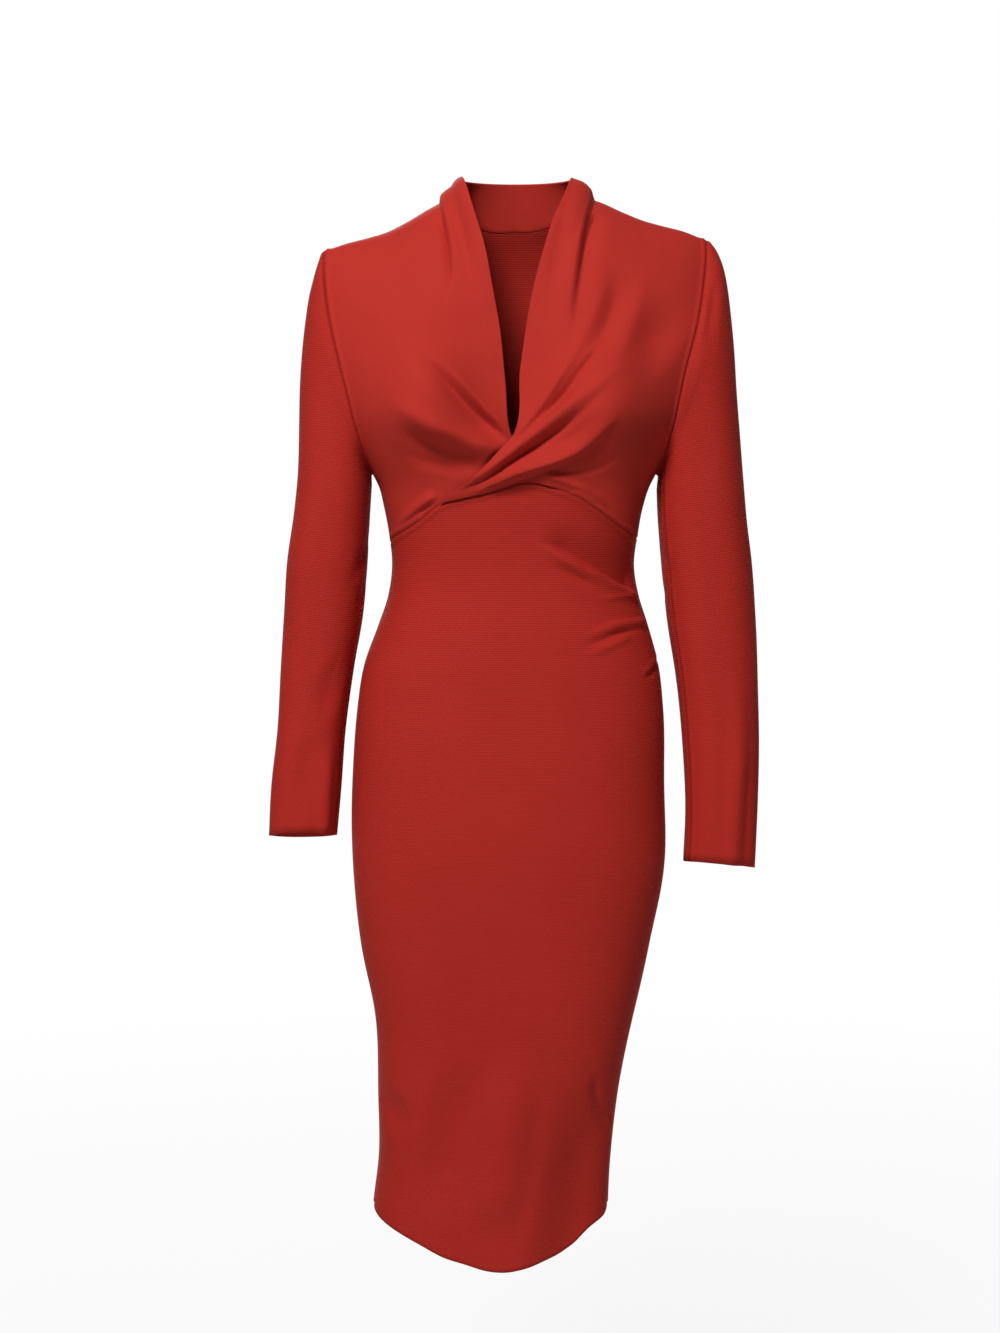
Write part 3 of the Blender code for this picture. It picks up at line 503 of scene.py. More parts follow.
def flank(share, z):
    """Depth of a section, as a share of its greatest, at a share of its half-width."""
    power = TORSO_ROUND + (SKIRT_ROUND - TORSO_ROUND) * ease((WAIST_TOP - z) / (WAIST_TOP - HIPS))
    return np.maximum(1.0 - np.abs(share) ** power, 0.0) ** (1 / power)


def surface(across, z, face):
    """Points of the body surface on one face, "front" or "back"."""
    across = np.asarray(across, float)
    z = np.asarray(z, float)
    share = np.sin(across * seam_angle(z))
    x = middle(z) + half_width(z) * share
    drop = np.clip((ridge_height(across) - z) / ROLL, 0.0, 1.0)
    roll = np.sqrt(drop * (2 - drop))
    side = flank(share, z)
    if face == "back":
        return np.stack([x, section("back", z) * side * roll, z], axis=-1)
    tall = np.where(z > CUP_Z, CUP_ABOVE, CUP_BELOW)
    cup = CUP_RISE * np.exp(-((np.abs(x) - CUP_X) / CUP_WIDE) ** 2 - ((z - CUP_Z) / tall) ** 2)
    depth = section("front", z) * side + cup * np.clip(side * CUP_SIDE, 0.0, 1.0)
    return np.stack([x, -depth * roll, z], axis=-1)


def across_of(x, z):
    """Place across the body of a point seen from the front at (x, z)."""
    share = (np.asarray(x, float) - middle(z)) / half_width(z)
    return np.clip(np.arcsin(np.clip(share, -1.0, 1.0)) / seam_angle(z), -1.0, 1.0)


def traced(corners, face="front"):
    """Close points of the surface along a smooth line through corners, given as (x, z)."""
    line = spaced(corners, shares(FOLD_SAMPLES))
    return surface(across_of(line[:, 0], line[:, 1]), line[:, 1], face)


# A flat plan of the surface, in metres, for spacing grid points evenly:
# first the distance across, then the distance down from the shoulder ridge.

PLAN_WIDTH = 0.19           # from the centre to a side seam
PLAN_SLOPE = ROLL * math.pi / 2 / ROLL_LENGTH


def to_plan(across, z):
    drop = np.maximum(ridge_height(across) - z, 0.0)
    near = np.arccos(1 - np.clip(drop / ROLL, 0.0, 1.0)) * ROLL_LENGTH * 2 / math.pi
    down = np.where(drop < ROLL, near, ROLL_LENGTH + (drop - ROLL) / PLAN_SLOPE)
    return np.stack([np.asarray(across) * PLAN_WIDTH, down], axis=-1)


def from_plan(plan):
    across = np.clip(plan[..., 0] / PLAN_WIDTH, -1.0, 1.0)
    down = plan[..., 1]
    near = ROLL * (1 - np.cos(np.clip(down / ROLL_LENGTH, 0.0, 1.0) * math.pi / 2))
    drop = near + np.maximum(down - ROLL_LENGTH, 0.0) * PLAN_SLOPE
    return across, ridge_height(across) - drop


# ---------------- seams

def side_heights(side, fine):
    """Heights down the armhole and side seam."""
    tip, end = RIDGE[SIDES[side]][-1], SIDE_END[side]
    turn = (1 - np.cos(np.linspace(0.0, math.pi, ARMHOLE_SPANS * fine + 1))) / 2
    armhole = tip + (ARMPIT - tip) * turn
    waist = np.linspace(ARMPIT, end, SIDE_SPANS * fine + 1)
    skirt = end + (HEM_SIDE - end) * shares(SKIRT_SPANS * fine + 1) ** SKIRT_CROWD
    return np.concatenate([armhole, waist[1:], skirt[1:]])


def shares_down(fine, first=0):
    """How far each row from the first has come down the right side, and down the left."""
    found = []
    for side in (0, 1):
        heights = side_heights(side, fine)[first:, None]
        found.append((heights[0] - heights) / (heights[0] - HEM_SIDE))
    return found


def underbust_points(fine):
    """(across, z) of each point where the bodice is sewn to the skirt, right to left."""
    across = np.concatenate([[-1.0], across_of(UNDERBUST["x"], UNDERBUST["z"]), [1.0]])
    height = np.concatenate([SIDE_END[:1], UNDERBUST["z"], SIDE_END[1:]])
    ends = (-1.0, float(across_of(*TAIL)), float(across_of(*TUCKED)), 1.0)
    counts = (RIGHT_SEAM_SPANS, LAP_SEAM_SPANS, LEFT_SEAM_SPANS)
    spans = zip(ends, ends[1:], counts)
    stops = [np.linspace(start, end, count * fine + 1)[1:] for start, end, count in spans]
    stops = np.concatenate([ends[:1], *stops])
    return stops, smooth(across, height, stops)


def shoulder_stops(side, fine):
    """across of each point along the shoulder, from the neckline to the armhole."""
    sign = SIGNS[side]
    neckline, foot = across_of(sign * np.array([NECK_TOP_X[side], BAND_FOOT_X]), HIGH)
    share = np.sin(np.linspace(0.0, math.pi / 2, SHOULDER_SPANS * fine + 1))[1:]
    return np.concatenate([np.linspace(neckline, foot, NECK_SPANS * fine + 1), foot + (sign - foot) * share])


def neck_seam(fine):
    """Angle round the neck, across and height of each point of the back's neck seam."""
    turn = np.linspace(math.pi, 0.0, BAND_SPANS * fine + 1)
    x = BAND_FOOT_X * np.cos(turn)
    across = across_of(x, HIGH)
    full = section("back", HIGH) * flank(x / half_width(HIGH), HIGH)
    drop = ROLL * (1 - np.sqrt(1 - np.clip(NECK_BACK * np.sin(turn) / full, 0.0, 1.0) ** 2))
    drop[[0, -1]] = 0.0
    return turn, across, ridge_height(across) - drop


def seam_distance(points, edge):
    """Distance of each grid point from the points of an edge."""
    tree = tree_of(edge)
    found = [tree.find(point)[2] for point in points.reshape(-1, 3)]
    return np.array(found).reshape(points.shape[:-1])


# ---------------- folds

def nearest(points, path):
    """Distance, place along and signed side (+ above) of points from a path."""
    gap = np.linalg.norm(points[:, None, :] - path[None, :, :], axis=2)
    index = np.argmin(gap, axis=1)
    distance = gap[np.arange(len(points)), index]
    tangent = np.gradient(path, axis=0)
    upward = np.stack([-tangent[:, 2], np.zeros(len(path)), tangent[:, 0]], axis=1)
    run = path[-1] - path[0]
    upward *= np.sign(run[0] if abs(run[0]) > TINY else 1.0)
    upward /= np.maximum(np.linalg.norm(upward, axis=1), TINY)[:, None]
    side = np.einsum("ij,ij->i", points - path[index], upward[index])
    return distance, index / (len(path) - 1), side


def raise_along(points, path, fold):
    """How far a fold along the given path lifts each point of a grid."""
    flat = points.reshape(-1, 3)
    reach = max(fold["above"], fold["below"])
    close = np.all((flat > path.min(0) - reach) & (flat < path.max(0) + reach), axis=1)
    lift = np.zeros(len(flat))
    if close.any():
        distance, along, side = nearest(flat[close], path)
        width = fold["below"] + (fold["above"] - fold["below"]) * ease(0.5 + side / FOLD_TURN)
        swell = (1 - np.clip(distance / width, 0.0, 1.0) ** fold["round"]) ** 2
        start = ease(along / fold["rise"]) if fold["rise"] else 1.0
        lift[close] = fold["height"] * swell * start * ease((1 - along) / fold["sink"])
    return lift.reshape(points.shape[:-1])


def folds(points, columns, face="front"):
    """How far all the folds of a table lift each point of a grid."""
    lift = 0.0
    for fold in rows_of(columns):
        corners = [(fold[f"x{index}"], fold[f"z{index}"]) for index in range(4)]
        lift = lift + raise_along(points, traced(corners, face), fold)
    return lift


def lap_lift(points):
    """Lift of the left front where it lies on the right one."""
    distance = seam_distance(points, traced([TAIL, LAP_TIP, TUCKED, TAIL]))
    return LAP_LIFT * ease((LAP_NONE - distance) / (LAP_NONE - LAP_FULL))


def calm_under_lap(points):
    """0 where the right front lies under the left one, 1 where it shows."""
    edge = np.stack([NECKLINES[1]["x"], NECKLINES[1]["z"]], axis=1)
    side = nearest(points.reshape(-1, 3), traced(edge))[2]
    return ease((side.reshape(points.shape[:-1]) + LAP_HIDE) / (2 * LAP_HIDE))


def undulate(points, amount):
    """Slow, uneven waves that keep a large face of cloth from being perfect."""
    turns = np.stack([WAVES["x"], WAVES["y"], WAVES["z"]])
    return amount * np.sin(points @ turns + WAVES["start"]).mean(axis=-1)


def seam_roll(distance):
    """Lift of the cloth beside a seam, where its allowance is turned in."""
    return SEAM_RISE * np.exp(-((distance - SEAM_RISE_FROM) / SEAM_RISE_WIDE) ** 2)


# ---------------- grids
# A grid holds points along the middle of a piece's wall.

EDGES = {
    "first row": np.s_[0],
    "last row": np.s_[-1],
    "first column": np.s_[:, 0],
    "last column": np.s_[:, -1],
}
ROW_EDGES = ("first row", "last row")


def sewn_edges(grid, free, closed=False):
    """Points of all a grid's edges but the free one."""
    names = ROW_EDGES if closed else EDGES
    return np.concatenate([grid[EDGES[name]] for name in names if name != free])


def grid_normals(grid, closed=False):
    down = np.gradient(grid, axis=0)
    if closed:
        over = (np.roll(grid, -1, axis=1) - np.roll(grid, 1, axis=1)) / 2
    else:
        over = np.gradient(grid, axis=1)
    normal = np.cross(over, down)
    return normal / np.maximum(np.linalg.norm(normal, axis=-1, keepdims=True), TINY)


def front_plan(side, seam):
    """Plan of a bodice front: rows up from its seam, columns from its neckline."""
    stops = shoulder_stops(side, FRONT_FINE)
    shoulder = to_plan(stops, ridge_height(stops))
    heights = side_heights(side, FRONT_FINE)[(ARMHOLE_SPANS + SIDE_SPANS) * FRONT_FINE::-1]
    outer = to_plan(np.full(len(heights), stops[-1]), heights)
    x, z = NECKLINES[side]["x"], NECKLINES[side]["z"]
    edge = np.concatenate([seam[:1], to_plan(across_of(x, z), z), shoulder[:1]])
    inner = spaced(edge, shares(len(outer)) ** NECKLINE_CROWD)
    u = shares(len(seam))[None, :, None]
    v = shares(len(outer))[:, None, None]
    corners = ((1 - u) * (1 - v) * seam[0] + u * (1 - v) * seam[-1]
               + (1 - u) * v * shoulder[0] + u * v * shoulder[-1])
    return (1 - v) * seam + v * shoulder + (1 - u) * inner[:, None] + u * outer[:, None] - corners


def front_grid(side):
    """Bodice front, the right one under and the left one over it."""
    seam = to_plan(*underbust_points(FRONT_FINE))
    if side:
        seam = seam[RIGHT_SEAM_SPANS * FRONT_FINE:]
    else:
        seam = seam[(RIGHT_SEAM_SPANS + LAP_SEAM_SPANS) * FRONT_FINE::-1]
    points = surface(*from_plan(front_plan(side, seam)), "front")
    sewn = np.concatenate([points[:, -1], points[0, FREE_SEAM_SPANS * FRONT_FINE:]])
    from_seam = seam_distance(points, sewn)
    calm = ease(from_seam / FOLD_CALM)
    pleats = folds(points, FRONT_FOLDS[side]) * calm
    pleats = pleats + lap_lift(points) if side else pleats * calm_under_lap(points)
    top = ease(seam_distance(points, points[-1]) / FOLD_CALM)
    lift = (folds(points, NECK_ROLLS[side]) + pleats
            + undulate(points, FRONT_WAVE) * calm * top + seam_roll(from_seam))
    return points + grid_normals(points) * SIGNS[side] * lift[..., None]


def skirt_grid():
    """Front skirt: rows down, columns right to left."""
    stops, top = underbust_points(SKIRT_FINE)
    even = np.linspace(-1.0, 1.0, len(stops))
    even = (even + np.sin(even * math.pi / 2)) / 2
    right, left = shares_down(SKIRT_ROWS_FINE, (ARMHOLE_SPANS + SIDE_SPANS) * SKIRT_ROWS_FINE)
    spread = ease(right * SKIRT_EVEN)
    across = stops * (1 - spread) + even * spread
    down = right + (left - right) * (across + 1) / 2
    hem = smooth(FRONT_HEM["share"], FRONT_HEM["z"], np.sin(across * math.pi / 2))
    points = surface(across, top * (1 - down) + hem * down, "front")
    from_seam = seam_distance(points, sewn_edges(points, "last row"))
    lift = folds(points, SKIRT_FOLDS) + undulate(points, BODY_WAVE)
    lift = lift * ease(from_seam / SKIRT_CALM) + seam_roll(from_seam)
    return points - grid_normals(points) * lift[..., None]


def back_grid():
    """Back: rows down, columns right to left."""
    _, neck_across, neck_z = neck_seam(BACK_FINE)
    right = shoulder_stops(0, BACK_FINE)[NECK_SPANS * BACK_FINE:][::-1]
    left = shoulder_stops(1, BACK_FINE)[NECK_SPANS * BACK_FINE:]
    across = np.concatenate([right, neck_across[1:-1], left])
    top = np.concatenate([ridge_height(right), neck_z[1:-1], ridge_height(left)])
    right, left = shares_down(BACK_FINE)
    down = right + (left - right) * (across + 1) / 2
    z = top * (1 - down) + HEM_SIDE * down
    points = surface(across + 0 * z, z, "back")
    from_seam = seam_distance(points, sewn_edges(points, "last row"))
    lift = folds(points, BACK_FOLDS, "back") + undulate(points, BODY_WAVE)
    lift = lift * ease(from_seam / FOLD_CALM)
    return points + grid_normals(points) * lift[..., None]


def band_grid(fronts):
    """Neck band: rows down from its upper edge, columns right to left."""
    count = NECK_SPANS * BAND_FINE + 1
    ends = [resampled(front[-1, :NECK_SPANS * FRONT_FINE + 1], count) for front in fronts]
    for end in ends:
        end[:, 0] = np.abs(end[:, 0])
    turn, across, z = neck_seam(BAND_FINE)
    share = shares(count)[:, None]
    columns = []
    for angle, foot in zip(turn, surface(across, z, "back")):
        over, behind = math.cos(angle), math.sin(angle)
        end = ends[0] * (1 - over) / 2 + ends[1] * (1 + over) / 2
        top = np.array([end[0][0] * over, *(end[0][1:] + (BAND_TOP - end[0][1:]) * behind)])
        bulge = end - (end[0] * (1 - share) + end[-1] * share)
        bulge[:, 0] *= math.copysign(1.0, over)
        columns.append(top * (1 - share) + foot * share + bulge * over ** 2)
    return np.stack(columns, axis=1)


def ring_shares(turn, at):
    """How far round a sleeve ring lies towards its outer edge and its front, -1 to 1."""
    power = 2 / (2 + (ARM_ROUND - 2) * ease(at / CAP_RINGS))
    over, ahead = np.cos(turn), np.sin(turn)
    return np.sign(over) * np.abs(over) ** power, np.sign(ahead) * np.abs(ahead) ** power


def column_at(side, columns):
    """Which column of a sleeve's grid its long seam follows."""
    return round(UNDERARM_TURN[side] / 360 * columns)


def sleeve_grid(side, armhole):
    """Sleeve: rings down the arm, columns round it from the outer edge."""
    count = len(armhole)
    at = np.linspace(0.0, SLEEVE_SPANS, SLEEVE_SPANS * SLEEVE_FINE + 1)
    ring = {name: smooth(np.arange(len(values)), values, at) for name, values in SLEEVES[side].items()}
    outer, inner = (np.stack([SIGNS[side] * ring[edge + "_x"], -ring["forward"], ring[edge + "_z"]], axis=1)
                    for edge in ("out", "in"))
    centre = (outer + inner) / 2
    turn = np.linspace(0.0, 2 * math.pi, count, endpoint=False)
    over, ahead = ring_shares(turn, at[:, None])
    grid = centre[:, None] + (outer - centre)[:, None] * over[..., None]
    grid[..., 1] -= ring["depth"][:, None] * ahead
    fade = np.clip(1 - at / CAP_RINGS, 0.0, 1.0) ** 2
    grid = grid + (armhole - grid[0])[None] * fade[:, None, None]
    tilt = CUFF_TILT[side] * ease((at - CAP_RINGS) / (SLEEVE_SPANS - CAP_RINGS))
    grid[..., 2] += tilt[:, None] * np.sin(turn)[None]
    lift = undulate(grid, SLEEVE_WAVE)
    for fold in rows_of(SLEEVE_FOLDS[side]):
        rings = np.linspace(fold["ring0"], fold["ring1"], FOLD_SAMPLES) * SLEEVE_FINE
        turns = np.linspace(fold["turn0"], fold["turn1"], FOLD_SAMPLES) / 360 * count
        path = grid[np.round(rings).astype(int), np.round(turns).astype(int) % count]
        lift = lift + raise_along(grid, path, fold)
    from_seam = seam_distance(grid, np.concatenate([grid[0], grid[:, column_at(side, count)]]))
    lift = lift * ease(at / CAP_CALM)[:, None] + seam_roll(from_seam)
    return grid + grid_normals(grid, True) * SIGNS[side] * lift[..., None]


def armhole_loop(side, front, back):
    """The armhole from the shoulder tip down the front and up the back."""
    down = front[::-1][:ARMHOLE_SPANS * FRONT_FINE + 1, -1]
    up = back[:ARMHOLE_SPANS * BACK_FINE + 1, -side]
    down, up = (resampled(edge, ARMHOLE_SPANS * SLEEVE_FINE + 1) for edge in (down, up))
    return np.concatenate([down, up[1:-1][::-1]])


# ---------------- cloth

def border_of(rows, columns, closed):
    """For each edge point (i, j): its neighbours along the edge, each with the point inward."""
    border = {}

    def add(key, inward, around):
        border.setdefault(key, []).extend((neighbour, inward) for neighbour in around)

    for j in range(columns):
        beside = [(j + step) % columns for step in (-1, 1)] if closed else \
                 [j + step for step in (-1, 1) if 0 <= j + step < columns]
        for i, inward in ((0, 1), (rows - 1, rows - 2)):
            add((i, j), (inward, j), [(i, other) for other in beside])
    if not closed:
        for i in range(rows):
            beside = [i + step for step in (-1, 1) if 0 <= i + step < rows]
            for j, inward in ((0, 1), (columns - 1, columns - 2)):
                add((i, j), (i, inward), [(other, j) for other in beside])
    return border


def make_piece(grid, free, flip=False, closed=False, inner_seam=None):
    """A piece's grid with its normals, its border, the edge that isn't sewn and its seams' points."""
    normal = grid_normals(grid, closed)
    seams = sewn_edges(grid, free, closed)
    if inner_seam is not None:
        seams = np.concatenate([seams, inner_seam])
    raw = np.zeros(grid.shape[:2], dtype=bool)
    raw[EDGES[free]] = True
    return {
        "grid": grid,
        "normal": -normal if flip else normal,
        "closed": closed,
        "border": border_of(*grid.shape[:2], closed),
        "flip": flip,
        "free": raw,
        "seams": seams,
    }


def sew(pieces):
    """Make the pieces' normals agree where their edges meet, so that the edges meet flat."""
    keys = [(name, key) for name in pieces for key in pieces[name]["border"]]
    tree = tree_of([pieces[name]["grid"][key] for name, key in keys])
    for name, piece in pieces.items():
        piece["shared"] = {}
        for key in piece["border"]:
            meeting = {name: piece["normal"][key]}
            for _, index, _ in tree.find_range(piece["grid"][key], SEAM_MEET):
                other, other_key = keys[index]
                meeting.setdefault(other, pieces[other]["normal"][other_key])
            total = sum(meeting.values())
            total = total / max(np.linalg.norm(total), TINY)
            lean = min(float(total @ normal) for normal in meeting.values())
            piece["shared"][key] = (total, 1 / max(lean, MITRE_LEAST))


def sheets(piece, thickness, edge_share):
    """Outer and inner faces of a piece of cloth, thinned where it is sewn."""
    grid = piece["grid"].copy()
    normal = piece["normal"].copy()
    half = np.full(grid.shape[:2], thickness / 2)
    for key, steps in piece["border"].items():
        out, scale = piece["shared"][key]
        normal[key] = out
        half[key] *= scale * (1.0 if piece["free"][key] else edge_share)
        pull = np.zeros(3)
        for neighbour, inward in steps:
            across = np.cross(piece["grid"][neighbour] - piece["grid"][key], out)
            across /= max(np.linalg.norm(across), TINY)
            pull += across * np.sign(across @ (piece["grid"][inward] - piece["grid"][key]))
        grid[key] += pull / max(np.linalg.norm(pull), TINY) * SEAM_GAP / 2
    step = normal * half[..., None]
    return grid + step, grid - step


def shell_faces(rows, columns, closed):
    """Four-sided faces of a wall: two faces of cloth and the strips round its edges."""
    count = rows * columns
    around = columns if closed else columns - 1
    i, j = np.meshgrid(np.arange(rows - 1), np.arange(around), indexing="ij")
    k = (j + 1) % columns
    first, second = i * columns, (i + 1) * columns
    cells = np.stack([first + j, first + k, second + k, second + j], axis=-1).reshape(-1, 4)
    low = (rows - 1) * columns
    strips = []
    for a in range(around):
        b = (a + 1) % columns
        strips += [(b, a), (low + a, low + b)]
    if not closed:
        for a in range(0, low, columns):
            strips += [(a, a + columns), (a + 2 * columns - 1, a + columns - 1)]
    strips = np.array([(a, b, b + count, a + count) for a, b in strips])
    return np.concatenate([cells, cells[:, ::-1] + count, strips])


def body_plan(grid):
    """Cloth plan in metres: length over the cloth from its middle, and height."""
    steps = np.linalg.norm(np.diff(grid, axis=1), axis=2)
    over = np.concatenate([np.zeros((grid.shape[0], 1)), np.cumsum(steps, axis=1)], axis=1)
    centre = grid.shape[1] // 2
    return np.stack([over - over[:, centre:centre + 1], grid[..., 2]], axis=-1)


def sleeve_plan(grid, girth):
    """Cloth plan of a sleeve: girth round it, and height, the courses falling towards the armhole."""
    over = np.arange(grid.shape[1]) / grid.shape[1] * girth
    courses = grid[..., 2] - COURSE_SLOPE * np.abs(grid[..., 0])
    return np.stack([np.broadcast_to(over[None, :], courses.shape), courses], axis=-1)


def cloth_uv(piece, faces):
    """UVs of each face's corners in metres, carried on past a tube's first column."""
    grid = piece["grid"]
    if not piece["closed"]:
        return np.tile(body_plan(grid).reshape(-1, 2), (2, 1))[faces]
    girth = np.linalg.norm(np.roll(grid, -1, axis=1) - grid, axis=2).sum(axis=1).max()
    uv = np.tile(sleeve_plan(grid, girth).reshape(-1, 2), (2, 1))[faces]
    crossing = np.ptp(uv[..., 0], axis=1) > girth / 2
    uv[..., 0] += np.where(crossing[:, None] & (uv[..., 0] < girth / 2), girth, 0.0)
    return uv


def make_cloth(name, piece, settings, material):
    """The piece as one closed mesh, with its cloth plan as UVs and its seams as an attribute."""
    outer, inner = sheets(piece, settings.thickness, settings.edge_share)
    faces = shell_faces(*outer.shape[:2], piece["closed"])
    if piece["flip"]:
        faces = faces[:, ::-1]
    points = np.concatenate([outer.reshape(-1, 3), inner.reshape(-1, 3)])
    mesh = bpy.data.meshes.new(name)
    mesh.from_pydata(points.tolist(), [], faces.tolist())
    uv = cloth_uv(piece, faces).astype(np.float32)
    mesh.uv_layers.new(name="cloth").data.foreach_set("uv", uv.ravel())
    # Closeness to a seam: the material draws the cloth in with it and darkens it there as painted shade
    near = np.exp(-(seam_distance(piece["grid"], piece["seams"]) / settings.seam_reach) ** 2)
    near = np.tile(near.ravel(), 2).astype(np.float32)
    mesh.attributes.new("seam", "FLOAT", "POINT").data.foreach_set("value", near)
    mesh.shade_smooth()
    raw = np.tile(piece["free"].ravel(), 2)[faces].all(axis=1)
    mesh.polygons.foreach_set("use_smooth", ~raw)
    mesh.materials.append(material)
    mesh.update()
    made = bpy.data.objects.new(name, mesh)
    bpy.context.collection.objects.link(made)
    return made


CUT = {}


def cut_dress():
    """All pieces of the dress as grids, cut once and then kept."""
    if not CUT:
        fronts = [front_grid(side) for side in (0, 1)]
        back = back_grid()
        CUT.update({
            "bodice_right": make_piece(fronts[0], "first column", flip=True),
            "bodice_left": make_piece(fronts[1], "first column"),
            "front_skirt": make_piece(skirt_grid(), "last row", flip=True),
            "back": make_piece(back, "last row"),
            "neck_band": make_piece(band_grid(fronts), "first row"),
        })
        for side in (0, 1):
            sleeve = sleeve_grid(side, armhole_loop(side, fronts[side], back))
            underarm = sleeve[:, column_at(side, sleeve.shape[1])]
            CUT["sleeve_" + SIDES[side]] = make_piece(sleeve, "last row", side == 0, True, underarm)
        sew(CUT)
    return CUT


# ---------------- materials

SOCKET_KINDS = {"Cloth": "Vector", "Position": "Vector", "Colour": "Color", "Dark Dye And Shade Colour": "Color"}
RANGE_INPUTS = ("From Min", "From Max", "To Min", "To Max")

# Scale and reach of the uneven shift that keeps ribs and wales from being straight
RIB_DRIFT = (22.0, 0.0002)
WALE_DRIFT = (30.0, 0.0006)
RIB_CROWN = 0.55                    # how flat the ribs' tops are: 1 round, less flatter
# The share of ribs, wales and stitches in the relief
RIB_WEIGHT = 0.92
RIB_STITCH_WEIGHT = 0.08
WALE_WEIGHT = 0.7
WALE_STITCH_WEIGHT = 0.3
WALE_STITCH = 0.0010                # height of one stitch of the smooth knit
WALE_OFFSET = 0.5                   # how far a wale's stitches lean into a V, in stitches
# Clouds and flecks in the dye: their scales, and their share in its shade
CLOUD_SCALE = 9.0
CLOUD_WEIGHT = 0.18
FLECK_SCALE = 1100.0
FLECK_WEIGHT = 0.07
# Painted shade beside the seams and in the ribs' grooves: their shares in the mix towards the dark colour
SEAM_PAINTED_SHADE = 0.30
GROOVE_PAINTED_SHADE = 0.26
SEAM_DRAW = 1.6                     # how deep the seams are drawn in, in ribs
# Lower and upper height, and the ribs' relief below and above them
RIB_FADE = (-0.60, -0.42, 0.25, 1.0)
WEAR = 0.18                         # how far the roughness varies
# The loose fibres that roughen the surface
FIBRE_SCALE = 420.0
FIBRE_STRENGTH = 0.12
FIBRE_DEPTH = 0.00012
SPECULAR = 0.13
SHEEN_ROUGHNESS = 0.45
SHEEN_TINT = (1.0, 0.22, 0.16, 1.0)


def fill_inputs(tree, node, inputs):
    """Give each of a node's inputs a value, or link a socket to it."""
    for name, value in inputs.items():
        if isinstance(value, bpy.types.NodeSocket):
            tree.links.new(value, node.inputs[name])
        else:
            node.inputs[name].default_value = value


def add_node(tree, kind, inputs=None, **settings):
    """A shader node with its settings made and its inputs filled."""
    node = tree.nodes.new("ShaderNode" + kind)
    for name, value in settings.items():
        setattr(node, name, value)
    fill_inputs(tree, node, inputs or {})
    return node


def calc(tree, operation, *values):
    """A Math node's result for linked sockets or plain numbers."""
    return add_node(tree, "Math", dict(enumerate(values)), operation=operation).outputs[0]


def weighted_sum(tree, *terms):
    """The sum of (value, weight) pairs."""
    whole, *others = [calc(tree, "MULTIPLY", *term) for term in terms]
    for other in others:
        whole = calc(tree, "ADD", whole, other)
    return whole


def ripple(tree, value):
    """A row of rounded crests, one for each whole step of the value."""
    return calc(tree, "ABSOLUTE", calc(tree, "SINE", calc(tree, "MULTIPLY", value, math.pi)))


def noise(tree, vector, scale, detail=2.0):
    return add_node(tree, "TexNoise", {"Vector": vector, "Scale": scale, "Detail": detail}).outputs["Fac"]


def wander(tree, vector, scale, reach):
    """An uneven shift, half its reach to either side."""
    return calc(tree, "MULTIPLY", calc(tree, "SUBTRACT", noise(tree, vector, scale), 0.5), reach)


def split(tree, vector):
    return add_node(tree, "SeparateXYZ", {0: vector}).outputs


def build_ribs(tree, given):
    """Crosswise ribs: rounded courses with narrow grooves, and rows of stitches on them."""
    cloth = given["Cloth"]
    parts = split(tree, cloth)
    level = calc(tree, "ADD", parts[1], wander(tree, cloth, *RIB_DRIFT))
    crown = calc(tree, "POWER", ripple(tree, calc(tree, "DIVIDE", level, given["Pitch"])), RIB_CROWN)
    stitch = ripple(tree, calc(tree, "DIVIDE", parts[0], given["Stitch"]))
    on_rib = calc(tree, "MULTIPLY", stitch, crown)
    # The groove mask also darkens the colour there as painted shade
    return {"Height": weighted_sum(tree, (crown, RIB_WEIGHT), (on_rib, RIB_STITCH_WEIGHT)),
            "Groove": calc(tree, "SUBTRACT", 1.0, crown)}


def build_wales(tree, given):
    """Smooth knit: fine lengthwise wales broken into stitches."""
    cloth = given["Cloth"]
    parts = split(tree, cloth)
    across = calc(tree, "ADD", parts[0], wander(tree, cloth, *WALE_DRIFT))
    wale = ripple(tree, calc(tree, "DIVIDE", across, given["Pitch"]))
    lean = calc(tree, "MULTIPLY", wale, WALE_OFFSET)
    up = calc(tree, "ADD", calc(tree, "DIVIDE", parts[1], given["Stitch"]), lean)
    return {"Height": weighted_sum(tree, (wale, WALE_WEIGHT), (ripple(tree, up), WALE_STITCH_WEIGHT))}


def build_dye_and_painted_shade(tree, given):
    """Uneven dye and wear, with painted shade: broad cloudiness and fine flecks, and painted shade darkening
    the seams and grooves.
    """
    clouds = noise(tree, given["Position"], CLOUD_SCALE, 3.0)
    flecks = noise(tree, given["Position"], FLECK_SCALE, 1.0)
    shade = weighted_sum(tree, (clouds, CLOUD_WEIGHT), (flecks, FLECK_WEIGHT),
                         # Random dye tone from clouds and flecks, plus painted shade at the seams and in the
                         # grooves
                         (given["Seam"], SEAM_PAINTED_SHADE), (given["Groove"], GROOVE_PAINTED_SHADE))
    mix = add_node(tree, "Mix", {"Factor": shade}, data_type="RGBA", clamp_factor=True)
    fill_inputs(tree, mix, {6: given["Colour"], 7: given["Dark Dye And Shade Colour"]})
    return {"Colour": mix.outputs[2], "Wear": clouds}


def add_socket(group, label, way):
    kind = "NodeSocket" + SOCKET_KINDS.get(label, "Float")
    group.interface.new_socket(name=label, in_out=way, socket_type=kind)


def place_group(tree, name, build, inputs):
    """The outputs of a named node group, which is built the first time that it is placed."""
    group = bpy.data.node_groups.get(name)
    if group is None:
        group = bpy.data.node_groups.new(name, "ShaderNodeTree")
        for label in inputs:
            add_socket(group, label, "INPUT")
        outputs = build(group, group.nodes.new("NodeGroupInput").outputs)
        for label in outputs:
            add_socket(group, label, "OUTPUT")
        fill_inputs(group, group.nodes.new("NodeGroupOutput"), outputs)
    return add_node(tree, "Group", inputs, node_tree=group).outputs


